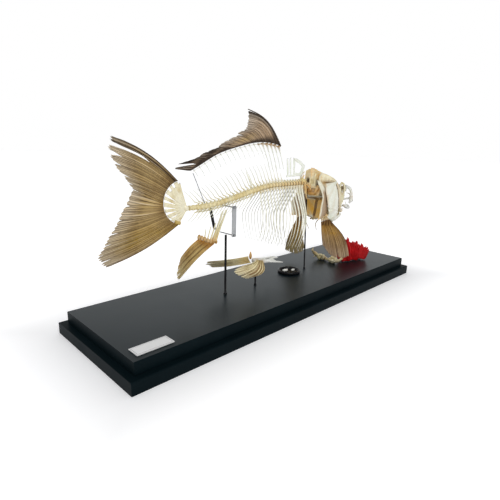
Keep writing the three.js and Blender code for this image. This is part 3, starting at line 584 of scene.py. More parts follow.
def addStand():
    # boards keep their solids; a post is a straight path with a collar near its foot
    board = boardPaint()
    for node in ("base_lower_board", "base_upper_board"):
        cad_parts[node].data.materials.clear()
        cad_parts[node].data.materials.append(board)
    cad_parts["label_plate"].data.materials.clear()
    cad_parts["label_plate"].data.materials.append(labelPaint())
    rodPaint = blackPaint("rodPaint", 0.28, (0.008, 0.008, 0.009, 1))
    for name in ("rear", "front", "pelvic"):
        foot, top, radius = stand[name]
        share = np.array([0, 0.0005, 0.001, 1.2 / top[2], 1.6 / top[2], 0.25, 0.5, 0.75, 0.995, 1])
        path = mix(np.array(foot), np.array(top), share[:, None])
        size = radius * np.array([1.2, 1.55, 1.6, 1.6, 1.0, 1, 1, 1, 1, 0.8])
        piece(name + "Post", [tube(path, size, 20)], ["post_" + name], rodPaint)
    place, low, high = stand["bracketPlace"], stand["low"], stand["high"]
    strip = stand["stripSide"]
    across = (1, 0, 0)
    shells = []
    for height, inner in ((low, 7), (high, 11)):
        rod = stack(place, np.linspace(inner, strip - 3.2, 14), height)
        shells.append(tube(rod, 0.7, 12, across=across))
        nut = stack(place, strip - np.array([0.62, 0.66, 1.9, 2.1]), height)
        shells.append(tube(nut, [1.1, 1.35, 1.35, 1.0], 6, across=across))
    u = spread(9)[:, None]
    v = spread(25)[None, :]
    plate = stack(place + 6 * (u - 0.5), strip, mix(low - 1.7, high + 1.7, v))
    shells.append(slab(plate, np.full((9, 25), 1.2), 0.05))
    steel = metalPaint("stripSteel", (0.42, 0.43, 0.44, 1), 0.32, 0.75)
    piece("bracket", shells, ["bracket"], steel)
    wire = spline([(-122.8, -1.4, 137.6), (-118.4, -1.9, 127), (-108.6, -2, 106.6)], 24)
    hook = 1.2 * np.sin(np.linspace(0, np.pi, 24)) ** 2
    wire[:, 1] -= hook * 0.3
    dark = metalPaint("wireSteel", (0.3, 0.31, 0.32, 1), 0.35, 0.8)
    piece("dorsalWire", [tube(wire, 0.42, 8)], ["dorsal_wire"], dark)
    strut = spline([(-96.6, 3.4, 99.2), (-93.8, 3.4, 87.5), (-91, 3.4, 76)], 12)
    wide = np.array([0.7] + [1.0] * 10 + [0.7]) * 1.3
    piece("analStrut", [tube(strut, wide, 12, 1.35)], ["anal_strut"], rodPaint)


addStand()
print("stand made")


# backbone

column = {
    "front": 66.0,
    "rear": -127.0,
    "count": 36,
    "fused": 3,
    "trunk": 15,
    "ribPlace": 4.3,  # how far out the ribs' side blocks are
    "ribDrop": 3.1,
}
pitch = (column["front"] - column["rear"]) / column["count"]


def columnHeight(x):
    # it climbs in an S from tail to head and dips a little where it meets the skull
    return 103 + 16 * smooth((x + 113.5) / 116) - 3.4 * smooth((x - 57) / 7)


def centrumRadius(x):
    # it grows from tail to head and draws in where it meets the skull
    grown = mix(2.8, 4.2, (x - column["rear"]) / (column["front"] - column["rear"]))
    return grown * mix(1.0, 0.55, smooth((x - 57) / 7))


def vertebraPlace(index):
    # a centrum's middle: the column's front less half a pitch and one for each before it
    return column["front"] - (index + 0.5) * pitch


def centra(first, count):
    # spools in a row: the radius falls to a waist in each and dips where two meet, and
    # eight low ridges run along every waist
    share = np.array([0.02, 0.06, 0.14, 0.24, 0.38, 0.5, 0.62, 0.76, 0.86, 0.94, 0.98])
    form = np.array([0.8, 1.0, 1.0, 0.87, 0.79, 0.77, 0.79, 0.87, 1.0, 1.0, 0.8])
    number = np.repeat(np.arange(first, first + count), len(share))
    along = np.tile(share, count)
    form = np.tile(form, count)
    x = (column["front"] - (number + along) * pitch)[:, None]
    angle = np.linspace(0, 2 * np.pi, 24, endpoint=False)[None, :]
    ridge = 1 + 0.07 * np.cos(8 * angle) * (1.02 - form[:, None]) * 5
    size = centrumRadius(x) * form[:, None] * ridge
    deep = 0.15 + 1.2 * np.clip(1 - form[:, None], 0, 0.3)
    warm = deep * mix(0.3, 1.9, smooth((x + 60) / 120))
    rings = stack(x, size * np.sin(angle), columnHeight(x) + size * np.cos(angle))
    # painted shade: the hole mark darkens each centrum's waist and its ends, where two centra meet, more towards the
    # head
    gap = bell(form[:, None] - 0.78, 0.05) * mix(0.1, 0.7, smooth((x + 40) / 90))
    return closedTube(rings, warm=np.clip(warm, 0, 1), hole=gap)


def spineTip(x, lean, length, direction):
    # from half the centrum's radius, the length times the lean's sine back and its cosine
    # up or down
    root = columnHeight(x) + direction * centrumRadius(x) * 0.5
    return x - math.sin(lean) * length, root + direction * math.cos(lean) * length


def archAndSpine(x, lean, length, direction):
    # two struts meet above the centrum, and a thin spine curves back from there
    radius = centrumRadius(x)
    tipX, tipHeight = spineTip(x, lean, length, direction)
    base = columnHeight(x)
    joinX, joinHeight = spineTip(x, lean, min(length * 0.42, radius + 3.6), direction)
    bend = 0.06 * length
    spine = spline([
        (joinX + 0.3, 0, joinHeight - direction * 0.8),
        (mix(joinX, tipX, 0.5) + bend * 0.5, 0, mix(joinHeight, tipHeight, 0.5)),
        (tipX, 0, tipHeight)], 9)
    thin = np.linspace(0.56, 0.28, 9)
    shells = [tube(spine, thin, 6, 0.8, blush=np.linspace(0.9, 1.6, 9)[:, None])]
    for side in (1, -1):
        strut = spline([
            (x + 1.1, side * radius * 0.55, base + direction * radius * 0.62),
            (x + 0.4, side * radius * 0.5, base + direction * (radius + 0.9)),
            (joinX, side * 0.25, joinHeight)], 6)
        shells.append(tube(strut, np.linspace(0.62, 0.42, 6), 6, 0.7, (1, 0, 0), blush=0.7))
        prong = spline([
            (x + 0.9, side * radius * 0.6, base + direction * radius * 0.7),
            (x + 2.2, side * radius * 0.66, base + direction * (radius + 0.5)),
            (x + 3.3, side * radius * 0.6, base + direction * (radius + 1.3))], 5)
        shells.append(tube(prong, [0.6, 0.5, 0.4, 0.3, 0.15], 5))
    return shells


def neuralSpine(index):
    # its length is a base plus half a sine wave over the column, and is cut near the head
    x = vertebraPlace(index)
    behind = float(smooth((column["front"] - x) / (column["front"] - column["rear"])))
    full = 18.5 + 7.5 * math.sin(math.pi * behind) + 5 * behind
    length = mix(full, 5.0, float(smooth((x - 11) / 8)))
    return archAndSpine(x - pitch / 4, mix(0.3, 0.86, behind), length, 1)


def haemalSpine(index):
    # towards the tail it leans further back and gets shorter
    x = vertebraPlace(index)
    lean = mix(0.72, 0.86, float(smooth((-30 - x) / 90)))
    length = mix(24, 20, float(smooth((-30 - x) / 60)))
    return archAndSpine(x - pitch / 4, lean, length, -1)


def addBackbone():
    trunkEnd = column["fused"] + column["trunk"]
    shells = [centra(column["fused"], column["trunk"])]
    for index in range(column["fused"], trunkEnd):
        shells += neuralSpine(index)
    piece("trunkVertebrae", shells, ["trunk_vertebrae"], paints["column"])
    shells = [centra(trunkEnd, column["count"] - trunkEnd)]
    for index in range(trunkEnd, column["count"] - 2):
        shells += neuralSpine(index) + haemalSpine(index)
    blade = between(
        [(-36.6, 0, 117), (-42, 0, 127), (-48.6, 0, 136.8)],
        [(-38.6, 0, 117), (-44.6, 0, 128), (-49.0, 0, 136.6)], 7, 14, 0.2, 0.2, 1.0, blush=1.3)
    shells.append(blade)
    piece("tailVertebrae", shells, ["tail_vertebrae"], paints["column"])


def addFusedVertebrae():
    # the front three centra with their wings, hooks and a tall arch on top
    shells = [centra(0, column["fused"])]
    for side in (1, -1):
        wing = mirrored(spline([(58, 1, 117.6), (57.4, 5, 116.4), (56.6, 9, 114.4), (54, 13, 111.6)], 14), side)
        shells.append(tube(wing, np.linspace(1.7, 0.6, 14), 10, 0.6, (1, 0, 0), warm=0.8))
        hook = mirrored(spline([
            (57, 1, 118.5), (55.4, 4.4, 112), (55.2, 5.4, 106), (57.6, 4.6, 101), (60.4, 3.6, 98)], 20), side)
        shells.append(tube(hook, np.linspace(1.9, 0.6, 20), 10, 0.75, (1, 0, 0), warm=0.6))
        small = mirrored(spline([(63, 3, 115.4), (64.4, 5, 113.6), (63.6, 7, 111)], 8), side)
        shells.append(tube(small, np.linspace(1.0, 0.4, 8), 8, 0.7, (1, 0, 0), warm=0.8))
        wall = mirrored(mix(
            spline([(50, 2.3, 119.6), (55.5, 2.5, 120), (60.4, 2.3, 119.6)], 15)[None],
            spline([(49.6, 1.0, 124.4), (54, 1.2, 125), (58.4, 1.0, 123.6)], 15)[None],
            spread(9)[:, None, None]), side)
        shells.append(slab(wall, np.full(wall.shape[:2], 1.0), 0.15, warm=0.05))
    piece("fusedVertebrae", shells, ["weberian_vertebrae"], paints["column"])


def addSupraneurals():
    # thin plates: a broad one framed round a window, and two slim bars behind it
    shells = [
        between(
            [(32.4, 0, 150.6), (33, 0, 139), (33.4, 0, 127.8)],
            [(37, 0, 147), (37, 0, 139), (37.4, 0, 131.6)], 8, 18),
        between(
            [(32.2, 0, 151.2), (45, 0, 148.4), (57, 0, 141.4)],
            [(36.6, 0, 146.6), (44, 0, 143.6), (50, 0, 139.8)], 8, 18),
        between(
            [(56.8, 0, 141.6), (56, 0, 137.6), (50.2, 0, 128.2)],
            [(49.4, 0, 140.2), (48.4, 0, 136), (45.4, 0, 131.2)], 8, 18),
        between(
            [(33.2, 0, 132), (42, 0, 132.6), (50, 0, 131.4)],
            [(33.6, 0, 127.7), (42, 0, 129.0), (50, 0, 128.2)], 8, 14),
        between(
            [(20, 0, 127.4), (35, 0, 128), (50, 0, 128)],
            [(20.4, 0, 129.8), (35, 0, 130), (50, 0, 130)], 6, 14, 0.0, 0.3),
        between(
            [(25, 0, 128), (24.2, 0, 139), (22.8, 0, 150.6)],
            [(21.8, 0, 128), (21, 0, 139), (19.8, 0, 149.8)], 7, 16),
        between(
            [(30.5, 0, 128), (29.6, 0, 139), (28.4, 0, 151.6)],
            [(27.5, 0, 128), (26.4, 0, 139), (25.4, 0, 150.8)], 7, 16),
    ]
    piece("supraneurals", shells, ["supraneurals"], paints["supra"])


addBackbone()
addFusedVertebrae()
addSupraneurals()
print("backbone made")


# ribs

cage = {"count": 15, "bow": 22.0, "sweep": 8.5}


def rib(index, side, dice):
    # from its side block a rib sweeps out and back, then hangs with a slightly inturned tip
    x = vertebraPlace(index)
    top = columnHeight(x) - column["ribDrop"]
    tip = 56 - 0.27 * (x + 26) + dice.uniform(-1.2, 1.2)
    bow = cage["bow"] * mix(1.1 if side < 0 else 0.9, 0.75, (47 - x) / 75) * (1 - 0.16 * float(smooth((x - 36) / 12)))
    sway = dice.uniform(-0.5, 0.5)
    points = [
        (x, column["ribPlace"] - 0.6, top + 0.6),
        (x - cage["sweep"] * 0.45, bow * 0.5, mix(top, tip, 0.16)),
        (x - cage["sweep"], bow, mix(top, tip, 0.45)),
        (x - cage["sweep"] + sway, bow * 0.92, mix(top, tip, 0.75)),
        (x - cage["sweep"] + sway * 2, bow * 0.62, tip)]
    path = mirrored(spline(points, 26), side)
    share = np.linspace(0, 1, 26)
    size = mix(1.75, 0.95 if side < 0 else 0.75, float(smooth((index - column["fused"] - 2) / 3)))
    form = mix(size, 0.3, share ** 1.3) * (1 + 0.35 * np.exp(-(share / 0.06) ** 2))
    warm = 0.5 * np.exp(-(share / 0.08) ** 2)[:, None]
    return tube(path, form, 7, 0.62, (1, 0, 0), warm=warm)


def sideBlocks(side):
    # knobs in a row, one under each vertebra, that carry the ribs
    x = np.linspace(column["front"] - 3 * pitch - 1, column["front"] - 18 * pitch + 1, 91)
    beat = np.cos((column["front"] - x) / pitch * 2 * np.pi)
    path = stack(x, side * column["ribPlace"] * 0.97, columnHeight(x) - column["ribDrop"])
    return tube(path, 1.35 - 0.35 * beat, 10, warm=(0.5 + 0.4 * beat)[:, None])


def addRibs():
    dice = np.random.default_rng(7)
    for side, name in ((1, "left"), (-1, "right")):
        shells = [sideBlocks(side)]
        for index in range(column["fused"], column["fused"] + cage["count"]):
            shells.append(rib(index, side, dice))
        # painted light: the left ribs take the whiter bone paint, lifting them against the shade they sit in
        paint = paints["rib" if side < 0 else "white"]
        piece("ribs" + name.title(), shells, ["ribs_" + name], paint)


addRibs()
print("ribs made")


# fins


def finShells(base, edge, bow, fin, seed):
    # a fin of rays and the skin between them, cut into bundles of a few rays. A surface
    # runs from the base curve to the edge curve, plus a bow times sin(pi v); its reach
    # falls off in a saw between rays, and its depth rises in a bell along each ray.
    dice = np.random.default_rng(seed)
    each = fin.get("each", 3)
    count = fin["bundles"]
    across = np.linspace(0, 1, each * 6 + 1)[None, :, None]
    v = spread(32)[None, None, :]
    k = np.arange(count)[:, None, None]
    number = (k + across) * each
    start = dice.uniform(0.78, 0.93, (count, 1, 1))
    gap = dice.uniform(0.05, 0.6, (count, 1, 1)) * fin.get("fray", 1.0)
    inner = 1.05 - gap * smooth((v - start) / (1 - start))
    outer = 1.05 - 0.7 * gap[::-1] * smooth((v - start[::-1]) / (1 - start[::-1]))
    for index, (begin, close, amount) in fin.get("slits", {}).items():
        opening = smooth((v[0, 0] - begin) / 0.2) * (1 - smooth((v[0, 0] - close) / 0.1))
        outer[index, 0] -= amount * opening
    for index in fin.get("pointed", ()):
        inner[index] *= 1 - 0.75 * v[0] ** 1.5
        outer[index] *= 1 - 0.75 * v[0] ** 1.5
    side = 2 * across - 1
    u = np.clip((k + 0.5 + 0.5 * side * np.where(side < 0, inner, outer)) / count, 0, 1)
    saw = np.abs(2 * (number % 1) - 1)
    tips = dice.uniform(0, 1, count * each + 1)
    short = np.interp(number, np.arange(count * each + 1), tips)
    uneven = dice.uniform(0, 1, (count, 1, 1))
    torn = fin.get("ragged", 0.05) * (0.5 * short + 0.5 * uneven)
    place = number / (count * each)
    torn = torn * smooth(place / fin.get("whole", 0.001)) * smooth((1.001 - place) / fin.get("whole", 0.001))
    reach = 1 - torn - fin.get("point", 0.035) * saw
    apart = mix(0.3, 0.55, v) * smooth((v - 0.3) / 0.2)
    ridge = np.exp(-((saw - apart) / 0.3) ** 2)
    share = v * reach
    lift = np.sin(np.pi * v)[..., None]
    middle = mix(base(u), edge(u), share[..., None]) + bow(u) * lift
    ripple = fin.get("ripple", 0.35) * np.sin(5 * np.pi * v + 4 * k) * v * (1 - side ** 2)
    middle = middle + ripple[..., None] * np.array(fin.get("face", (0, 1, 0)))
    depth = mix(fin["thick"], fin["thin"], v) * (0.4 + 0.6 * ridge)
    dark = fin.get("dark", lambda u, v: 0 * u)(u, v + 0 * u)
    gold = fin.get("gold", lambda u, v: 0 * u)(u, v + 0 * u)
    out = v + 0 * u
    return [
        slab(middle[i], depth[i], 0.04, number=number[i], out=out[i], dark=dark[i], gold=gold[i])
        for i in range(count)]


def along(points):
    # a line through the points as a function of a share from 0 to 1, for whole arrays
    fine = spline(points, 200)
    at = np.linspace(0, 1, 200)
    return lambda u: np.stack([np.interp(u, at, fine[:, i]) for i in range(3)], axis=-1)


def still(x, y, z):
    return lambda u: stack(x + 0 * u, y + 0 * u, z + 0 * u)


tail = {"x": -135.0, "height": 109.5, "radius": 21.2, "fork": 0.47}


def tailArc(share, radius):
    # a circle of the radius about the tail's hub, from its top round the rear to below
    angle = mix(1.78, 4.55, share)
    return stack(tail["x"] + radius * np.cos(angle), 0, tail["height"] + radius * np.sin(angle))


def addTailFin():
    radius = tail["radius"] + 0.3
    upper = {
        "bundles": 6, "thick": 1.6, "thin": 0.5, "ragged": 0.1, "fray": 0.8,
        "slits": {0: (0.4, 1.2, 0.62), 1: (0.8, 1.2, 0.5), 2: (0.88, 1.2, 0.4)},
        "dark": lambda u, v: smooth((0.24 - u) / 0.16) * (0.75 + 0.25 * np.cos(60 * u))
        + 0.2 * smooth((0.1 - v) / 0.08) + 0.16 * smooth((0.9 - v) / 0.5),
        "gold": lambda u, v: np.exp(-((u - 0.98) / 0.07) ** 2 - (v / 0.1) ** 2),
    }
    shells = finShells(
        lambda u: tailArc(tail["fork"] * u, radius),
        along([(-207, 0, 172.5), (-212, 0, 160), (-199.5, 0, 140), (-188.5, 0, 125.7)]),
        lambda u: stack(2.4 * (1 - u), 0, 4.6 * (1 - u) ** 1.5), upper, 3)
    lower = {
        "bundles": 7, "thick": 1.6, "thin": 0.5, "ragged": 0.05, "fray": 0.35,
        "dark": lambda u, v: 0.6 * smooth((u - 0.95) / 0.05) + 0.15 * smooth((0.1 - v) / 0.1),
        "gold": lambda u, v: 0.95 * np.exp(-((u - 0.66) / 0.2) ** 2 - ((v - 0.5) / 0.34) ** 2)
        + np.exp(-((u - 0.02) / 0.07) ** 2 - (v / 0.1) ** 2)
        + 0.5 * smooth((u - 0.6) / 0.3) * smooth((0.5 - v) / 0.4)
        + np.exp(-((u - 0.95) / 0.08) ** 2 - (v / 0.12) ** 2),
    }
    lowerShells = finShells(
        lambda u: tailArc(mix(tail["fork"] - 0.002, 1, u), radius),
        along([(-188.5, 0, 125.6), (-203, 0, 102), (-216, 0, 82), (-226.5, 0, 67), (-218, 0, 57.5)]),
        lambda u: stack(0, 0, -4 * u), lower, 4)
    piece("tailFinUpper", shells, ["tail_fin_upper"], paints["tailFin"])
    piece("tailFinLower", lowerShells, ["tail_fin_lower"], paints["tailFin"])


def addTailFan():
    # flat wedges from the last centrum to the fin's root, pale webs, and the hub
    shells = [blob((-130.1, 0, 103), (2.8, 2.0, 2.9))]
    count = 9
    for index in range(count):
        middle = (index + 0.5) / count
        wide = 0.03 if index % 2 else 0.038
        near = tailArc(np.array(middle - wide), tail["radius"])
        far = tailArc(np.array(middle + wide), tail["radius"])
        step = (near - far) * 0.17
        foot = np.array([column["rear"] - 2.7, 0, 103.0])
        lines = [
            [foot + step, mix(foot + step, near, 0.5) + step * 0.35, near],
            [foot - step, mix(foot - step, far, 0.5) - step * 0.35, far]]
        band = 0.55 * bell(spread(20) - 0.78, 0.12) * (0.6 + 0.4 * math.cos(index * 2.2))
        shells.append(between(lines[0], lines[1], 9, 20, 0.0, 0.22, 1.5, warm=band[None, :]))
    webs = [
        ([(-129.6, 0, 104.6), (-133.5, 0, 117), (-137.2, 0, 129)],
         [(-130.4, 0, 103.6), (-140, 0, 112), (-148.6, 0, 120.4)]),
        ([(-130.4, 0, 102.2), (-140, 0, 97), (-149.6, 0, 95.4)],
         [(-129.6, 0, 101.6), (-134.4, 0, 95), (-139, 0, 89.4)])]
    for first, second in webs:
        shells.append(between(first, second, 9, 18, 0.0, 0.1, 0.8))
    low = tailArc(mix(0.9, 1.0, np.linspace(0, 1, 16)), tail["radius"] - 0.6)
    shells.append(tube(low, 1.5 + 0.3 * np.cos(np.linspace(0, 19, 16)), 10, 1.2, warm=1.0))
    piece("tailFan", shells, ["tail_fan"], paints["fan"])


def backFinBase(share):
    arch = np.sin(np.pi * np.clip(share, 0, 1) ** 0.86) * (1 - 0.3 * share)
    height = mix(164.5, 139.5, share) + 13.5 * arch + 2.4 * bell(share - 0.74, 0.17)
    return stack(mix(7, -124, share), 0, height)


def addBackFin():
    line = along([
        (-47.5, 0, 202.2), (-48.6, 0, 190), (-52, 0, 183), (-66, 0, 177.4), (-80, 0, 170), (-93, 0, 162.6),
        (-107, 0, 157.6), (-121, 0, 151), (-142.5, 0, 145.2), (-141.4, 0, 139.4)])
    fin = {
        "bundles": 9, "thick": 1.7, "thin": 0.5, "ragged": 0.2, "fray": 0.25, "pointed": (8,),
        "whole": 0.3, "slits": {7: (0.25, 1.3, 0.28)},
        "dark": lambda u, v: np.clip(
            smooth((0.07 - u) / 0.05) + smooth((0.26 - v) / 0.2) * mix(0.95, 1.3, u)
            + 1.2 * smooth((u - 0.46) / 0.16) * (0.8 + 0.2 * np.sin(9 * v + 30 * u)), 0, 1),
        "gold": lambda u, v: 0.8 * np.exp(-((u - 0.36) / 0.1) ** 2 - ((v - 0.42) / 0.2) ** 2),
    }
    bow = lambda u: (smooth((0.6 - u) / 0.6) ** 1.5)[..., None] * np.array([3.8, 0, 7.4])
    shells = finShells(backFinBase, line, bow, fin, 11)
    share = np.linspace(0, 1, 40)
    front = mix(backFinBase(np.array(0.0)), line(np.array(0.0)), share[:, None])
    front = front + bow(np.zeros(40)) * np.sin(np.pi * share)[:, None]
    saw = 1 + 0.12 * np.sin(share * 2 * np.pi * 18)
    spine = tube(front, mix(1.3, 0.5, share) * saw, 8, dark=1.0, out=share[:, None])
    piece("backFin", shells + [spine], ["back_fin"], paints["backFin"])


def addBackStays():
    # each stay has a knobbed head under the fin and a thin shaft, and thin links join the heads
    count = 19
    shells = []
    for index in range(count):
        share = (index + 0.5) / count
        x, _, height = backFinBase(np.array(share))
        root = height - 0.9
        far = 1 - float(smooth((share - 0.2) / 0.12))
        depth = mix(mix(14, 7, share), root - 2.2 - columnHeight(x + 12) - 18.6, far) + 2.2
        lean = mix(0.72, 0.42, far)
        v = np.linspace(0, 1, 14)
        path = stack(x + lean * depth * v + 0.6 * np.sin(np.pi * v), 0, root - depth * v)
        size = mix(0.4, 1.7, far) * np.exp(-v / 0.08) + mix(0.55, 0.26, v) * mix(1, 1.7, far)
        # painted shade: the hole mark darkens the head of each stay under the fin
        shells.append(tube(
            path, size, 7, 0.75,
            warm=far * np.exp(-v / 0.1)[:, None], hole=0.3 * np.exp(-v / 0.05)[:, None]))
        if index < count - 1:
            after = backFinBase(np.array((index + 1.5) / count)) - [0, 0, 2.0]
            link = spline([(x, 0, root - 0.7), mix(np.array([x, 0, root - 0.7]), after, 0.5), after], 8)
            thin = np.array([1, .8, .6, .55, .55, .6, .8, 1]) * mix(0.45, 1.6, far)
            # painted shade: the links between the heads are darkened too, more in front
            shells.append(tube(link, thin, 7, 0.8, warm=0.2 + 0.8 * far, hole=0.1 + 0.2 * far))
    piece("backFinStays", shells, ["back_fin_stays"], paints["supra"])


def addAnalFin():
    fin = {
        "bundles": 4, "thick": 1.8, "thin": 0.5, "ragged": 0.06, "fray": 0.5, "point": 0.02,
        "dark": lambda u, v: (0.9 * np.exp(-((u - 0.35) / 0.05) ** 2) + 0.8 * np.exp(-((u - 0.62) / 0.04) ** 2)
                              + 0.6 * np.exp(-((u - 0.84) / 0.03) ** 2))
        * smooth((1.0 - v) / 0.3) * smooth(v / 0.2),
        "gold": lambda u, v: 0.9 * smooth((0.24 - v) / 0.2) + 0.4 * smooth((u - 0.5) / 0.2),
    }
    shells = finShells(
        along([(-94, 0, 61), (-103.5, 0, 64.6), (-115.5, 0, 69.8)]),
        along([(-143.5, 0, 28.3), (-145, 0, 34.8), (-142.5, 0, 43.8), (-138.5, 0, 53.8)]),
        lambda u: stack(0, 0, mix(2.5, 1.5, u)), fin, 21)
    piece("analFin", shells, ["anal_fin"], paints["goldenFin"])
    heads = spline([(-91.5, 0, 63.2), (-97.5, 0, 64), (-103.5, 0, 66.2), (-109.5, 0, 69.4), (-115, 0, 71.8)], 60)
    beat = 1 + 0.28 * np.cos(np.linspace(0, 2 * np.pi * 6, 60))
    # painted shade: the hole mark darkens the row a little, more in the narrow necks between its knobs
    row = tube(heads, 1.8 * beat, 12, 1.15, warm=0.8, hole=(0.14 + 0.25 * (beat < 0.9))[:, None])
    shells = [row]
    stays = [
        (-93.5, 63.8, -79.5, 97, 2.1, -2.8), (-96, 64.3, -84.5, 96, 2.0, -2.6),
        (-99.5, 65.8, -92, 84, 1.2, 0), (-103.5, 66.3, -99, 81, 1.0, 0), (-107.5, 67.8, -105.5, 79, 0.9, 0)]
    for headX, headHeight, footX, footHeight, size, side in stays:
        v = np.linspace(0, 1, 14)[:, None]
        path = mix(np.array([headX, 0, headHeight]), np.array([footX, side, footHeight]), v)
        form = mix(size, 0.6 * size, v[:, 0]) * (1 + 0.5 * np.exp(-v[:, 0] / 0.08))
        shells.append(tube(path, form, 8, 0.6, warm=0.8 * np.exp(-v / 0.12), blush=1.0 * v))
    piece("analFinStays", shells, ["anal_fin_stays"], paints["column"])


def addPairedFins():
    right = {
        "bundles": 5, "thick": 2.0, "thin": 0.5, "ragged": 0.05, "fray": 0.5, "face": (0.4, 0.9, 0),
        "dark": lambda u, v: np.clip(
            1.1 * smooth((0.2 - v) / 0.08) * (0.55 + 0.45 * np.sin(26 * u + 40 * v))
            + 0.7 * smooth((u - 0.9) / 0.06) * smooth((0.8 - v) / 0.2), 0, 1),
        "gold": lambda u, v: np.clip(1.6 * np.exp(-((v - 0.26) / 0.16) ** 2), 0, 1),
    }
    shells = finShells(
        along([(71, -21, 69.5), (79, -22.5, 70.5), (88, -22, 70)]),
        along([(70, -27, 37.5), (75, -35, 26.5), (80, -41, 21.5), (88, -49, 20), (96, -54.5, 22.5)]),
        lambda u: stack(2 * u - 1, -7 * u ** 2, 2 * u), right, 31)
    piece("pectoralFinRight", shells, ["pectoral_fin_right"], paints["shoulderFin"])
    left = {
        "bundles": 5, "thick": 2.0, "thin": 0.5, "ragged": 0.05, "fray": 0.4, "face": (1, 0.3, 0),
        "dark": lambda u, v: 0.8 * smooth((0.14 - u) / 0.08) * smooth((v - 0.3) / 0.3)
        * smooth((0.9 - v) / 0.2),
        "gold": lambda u, v: 0.8 * smooth((0.6 - v) / 0.4),
    }
    shells = finShells(
        along([(78, 23, 69.5), (83, 22.5, 70.5), (88, 21, 70)]),
        along([(88, 54, 12), (90, 45, 8.5), (90, 33, 9.5), (88, 22, 14), (87, 15, 22)]),
        still(-3, 1, 0), left, 32)
    piece("pectoralFinLeft", shells, ["pectoral_fin_left"], paints["goldenFin"])
    belly = {
        "bundles": 3, "thick": 2.0, "thin": 0.5, "ragged": 0.1, "fray": 0.9, "face": (0, 0.7, 0.7),
        "dark": lambda u, v: 0.1 * np.exp(-((v - 0.45) / 0.3) ** 2),
    }
    shells = finShells(
        along([(-32.6, 9.5, 34), (-32.6, 8, 30), (-32, 5, 26.5)]),
        along([(-101, 11, 39.5), (-97, 15, 35), (-89, 20, 31), (-81, 23, 25.5)]),
        still(0, 0, -1), belly, 33)
    piece("pelvicFinLeft", shells, ["pelvic_fin_left"], paints["bellyFin"])
    shells = finShells(
        along([(-33, -5, 33), (-30, -6.6, 32.2), (-26, -8.8, 31)]),
        along([(-67, -19, 36), (-83.5, -19.5, 32.5), (-75, -20, 24.5), (-63, -19, 19), (-54, -18, 18)]),
        lambda u: stack(3 * u, -5 - 3 * u, 1 - 3 * u), {
            **belly, "bundles": 4, "ragged": 0.03, "fray": 0.4,
            "dark": lambda u, v: smooth((u - 0.3) / 0.3) * (0.5 + 0.5 * np.sin(44 * u)) * smooth((0.95 - v) / 0.2)},
        34)
    piece("pelvicFinRight", shells, ["pelvic_fin_right"], paints["bellyFin"])


def addHips():
    # a hip bone: a stem that forks into two blades, with a thin plate between them
    for side, name in ((1, "left"), (-1, "right")):
        v = np.linspace(0, 1, 16)
        stem = spline([(-29, 5, 29), (-18, 4.6, 28), (-8, 5, 27)], 16)
        outer = spline([(-12, 5, 27), (0, 9.5, 25), (11, 8.5, 22)], 16)
        inner = spline([(-12, 4.8, 27), (-2, 2.4, 28.5), (8, 2.2, 27.5)], 16)
        shells = [
            tube(mirrored(stem, side), mix(3.0, 2.0, v), 10, 0.8, (0, 0, 1), warm=(0.5 * bell(v - 0.2, 0.2))[:, None]),
            tube(mirrored(outer, side), mix(1.5, 0.8, v), 8, 1.3, (0, 0, 1)),
            tube(mirrored(inner, side), mix(1.5, 0.7, v), 8, 1.3, (0, 0, 1)),
            slab(mirrored(mix(outer[None, :9], inner[None, :9], spread(8)[:, None, None]), side),
                 np.full((8, 9), 0.7), 0.15)]
        piece("hipBone" + name.title(), shells, ["hip_bone_" + name], paints["white"])
    spike = closedTube(stack(
        -36 + np.array([.5, 1.4, 1.9, 1.7, 1.2, .8, .3])[:, None] * np.cos(np.linspace(0, 2 * np.pi, 14, endpoint=False)),
        2.2 + np.array([.5, 1.3, 1.7, 1.5, 1.1, .7, .3])[:, None] * np.sin(np.linspace(0, 2 * np.pi, 14, endpoint=False)),
        np.array([32.4, 33.4, 35.6, 37.8, 39.6, 41.0, 42.0])[:, None]), warm=0.9)
    piece("pelvicSpike", [spike], ["pelvic_spike"], paints["column"])


addTailFin()
addTailFan()
addBackFin()
addBackStays()
addAnalFin()
addPairedFins()
addHips()
print("fins made")


# head


skull = {
    "rear": 74.2,
    "front": 154.0,
    "pits": ((6.4, 118.2, 2.8, 5.4), (-9.4, 117.6, 2.4, 4.4)),  # across, height, reaches
    "orbit": (127.5, 108.4),  # place and height of the eye's hollow
}


def headSide(x, height):
    # half the head's width: it narrows to the snout and rounds off above and below
    wide = mix(23.0, 7.0, smooth((x - 88) / 72))
    reach = np.where(height > 95, 42.0, 48.0)
    return wide * np.sqrt(np.maximum(0.1, 1 - ((height - 95) / reach) ** 2))


def roofHeight(x):
    # it falls from the back of the skull with the distance and with its square
    return 136 - 0.29 * (x - 73) - 0.0012 * (x - 73) ** 2


def skullHalfWidth(x):
    # a base, half a sine wave over the rear of the skull, less a smooth narrowing in front
    return 12.5 + 3 * np.sin(np.pi * smooth((x - 70) / 50)) - 6.5 * smooth((x - 105) / 45)


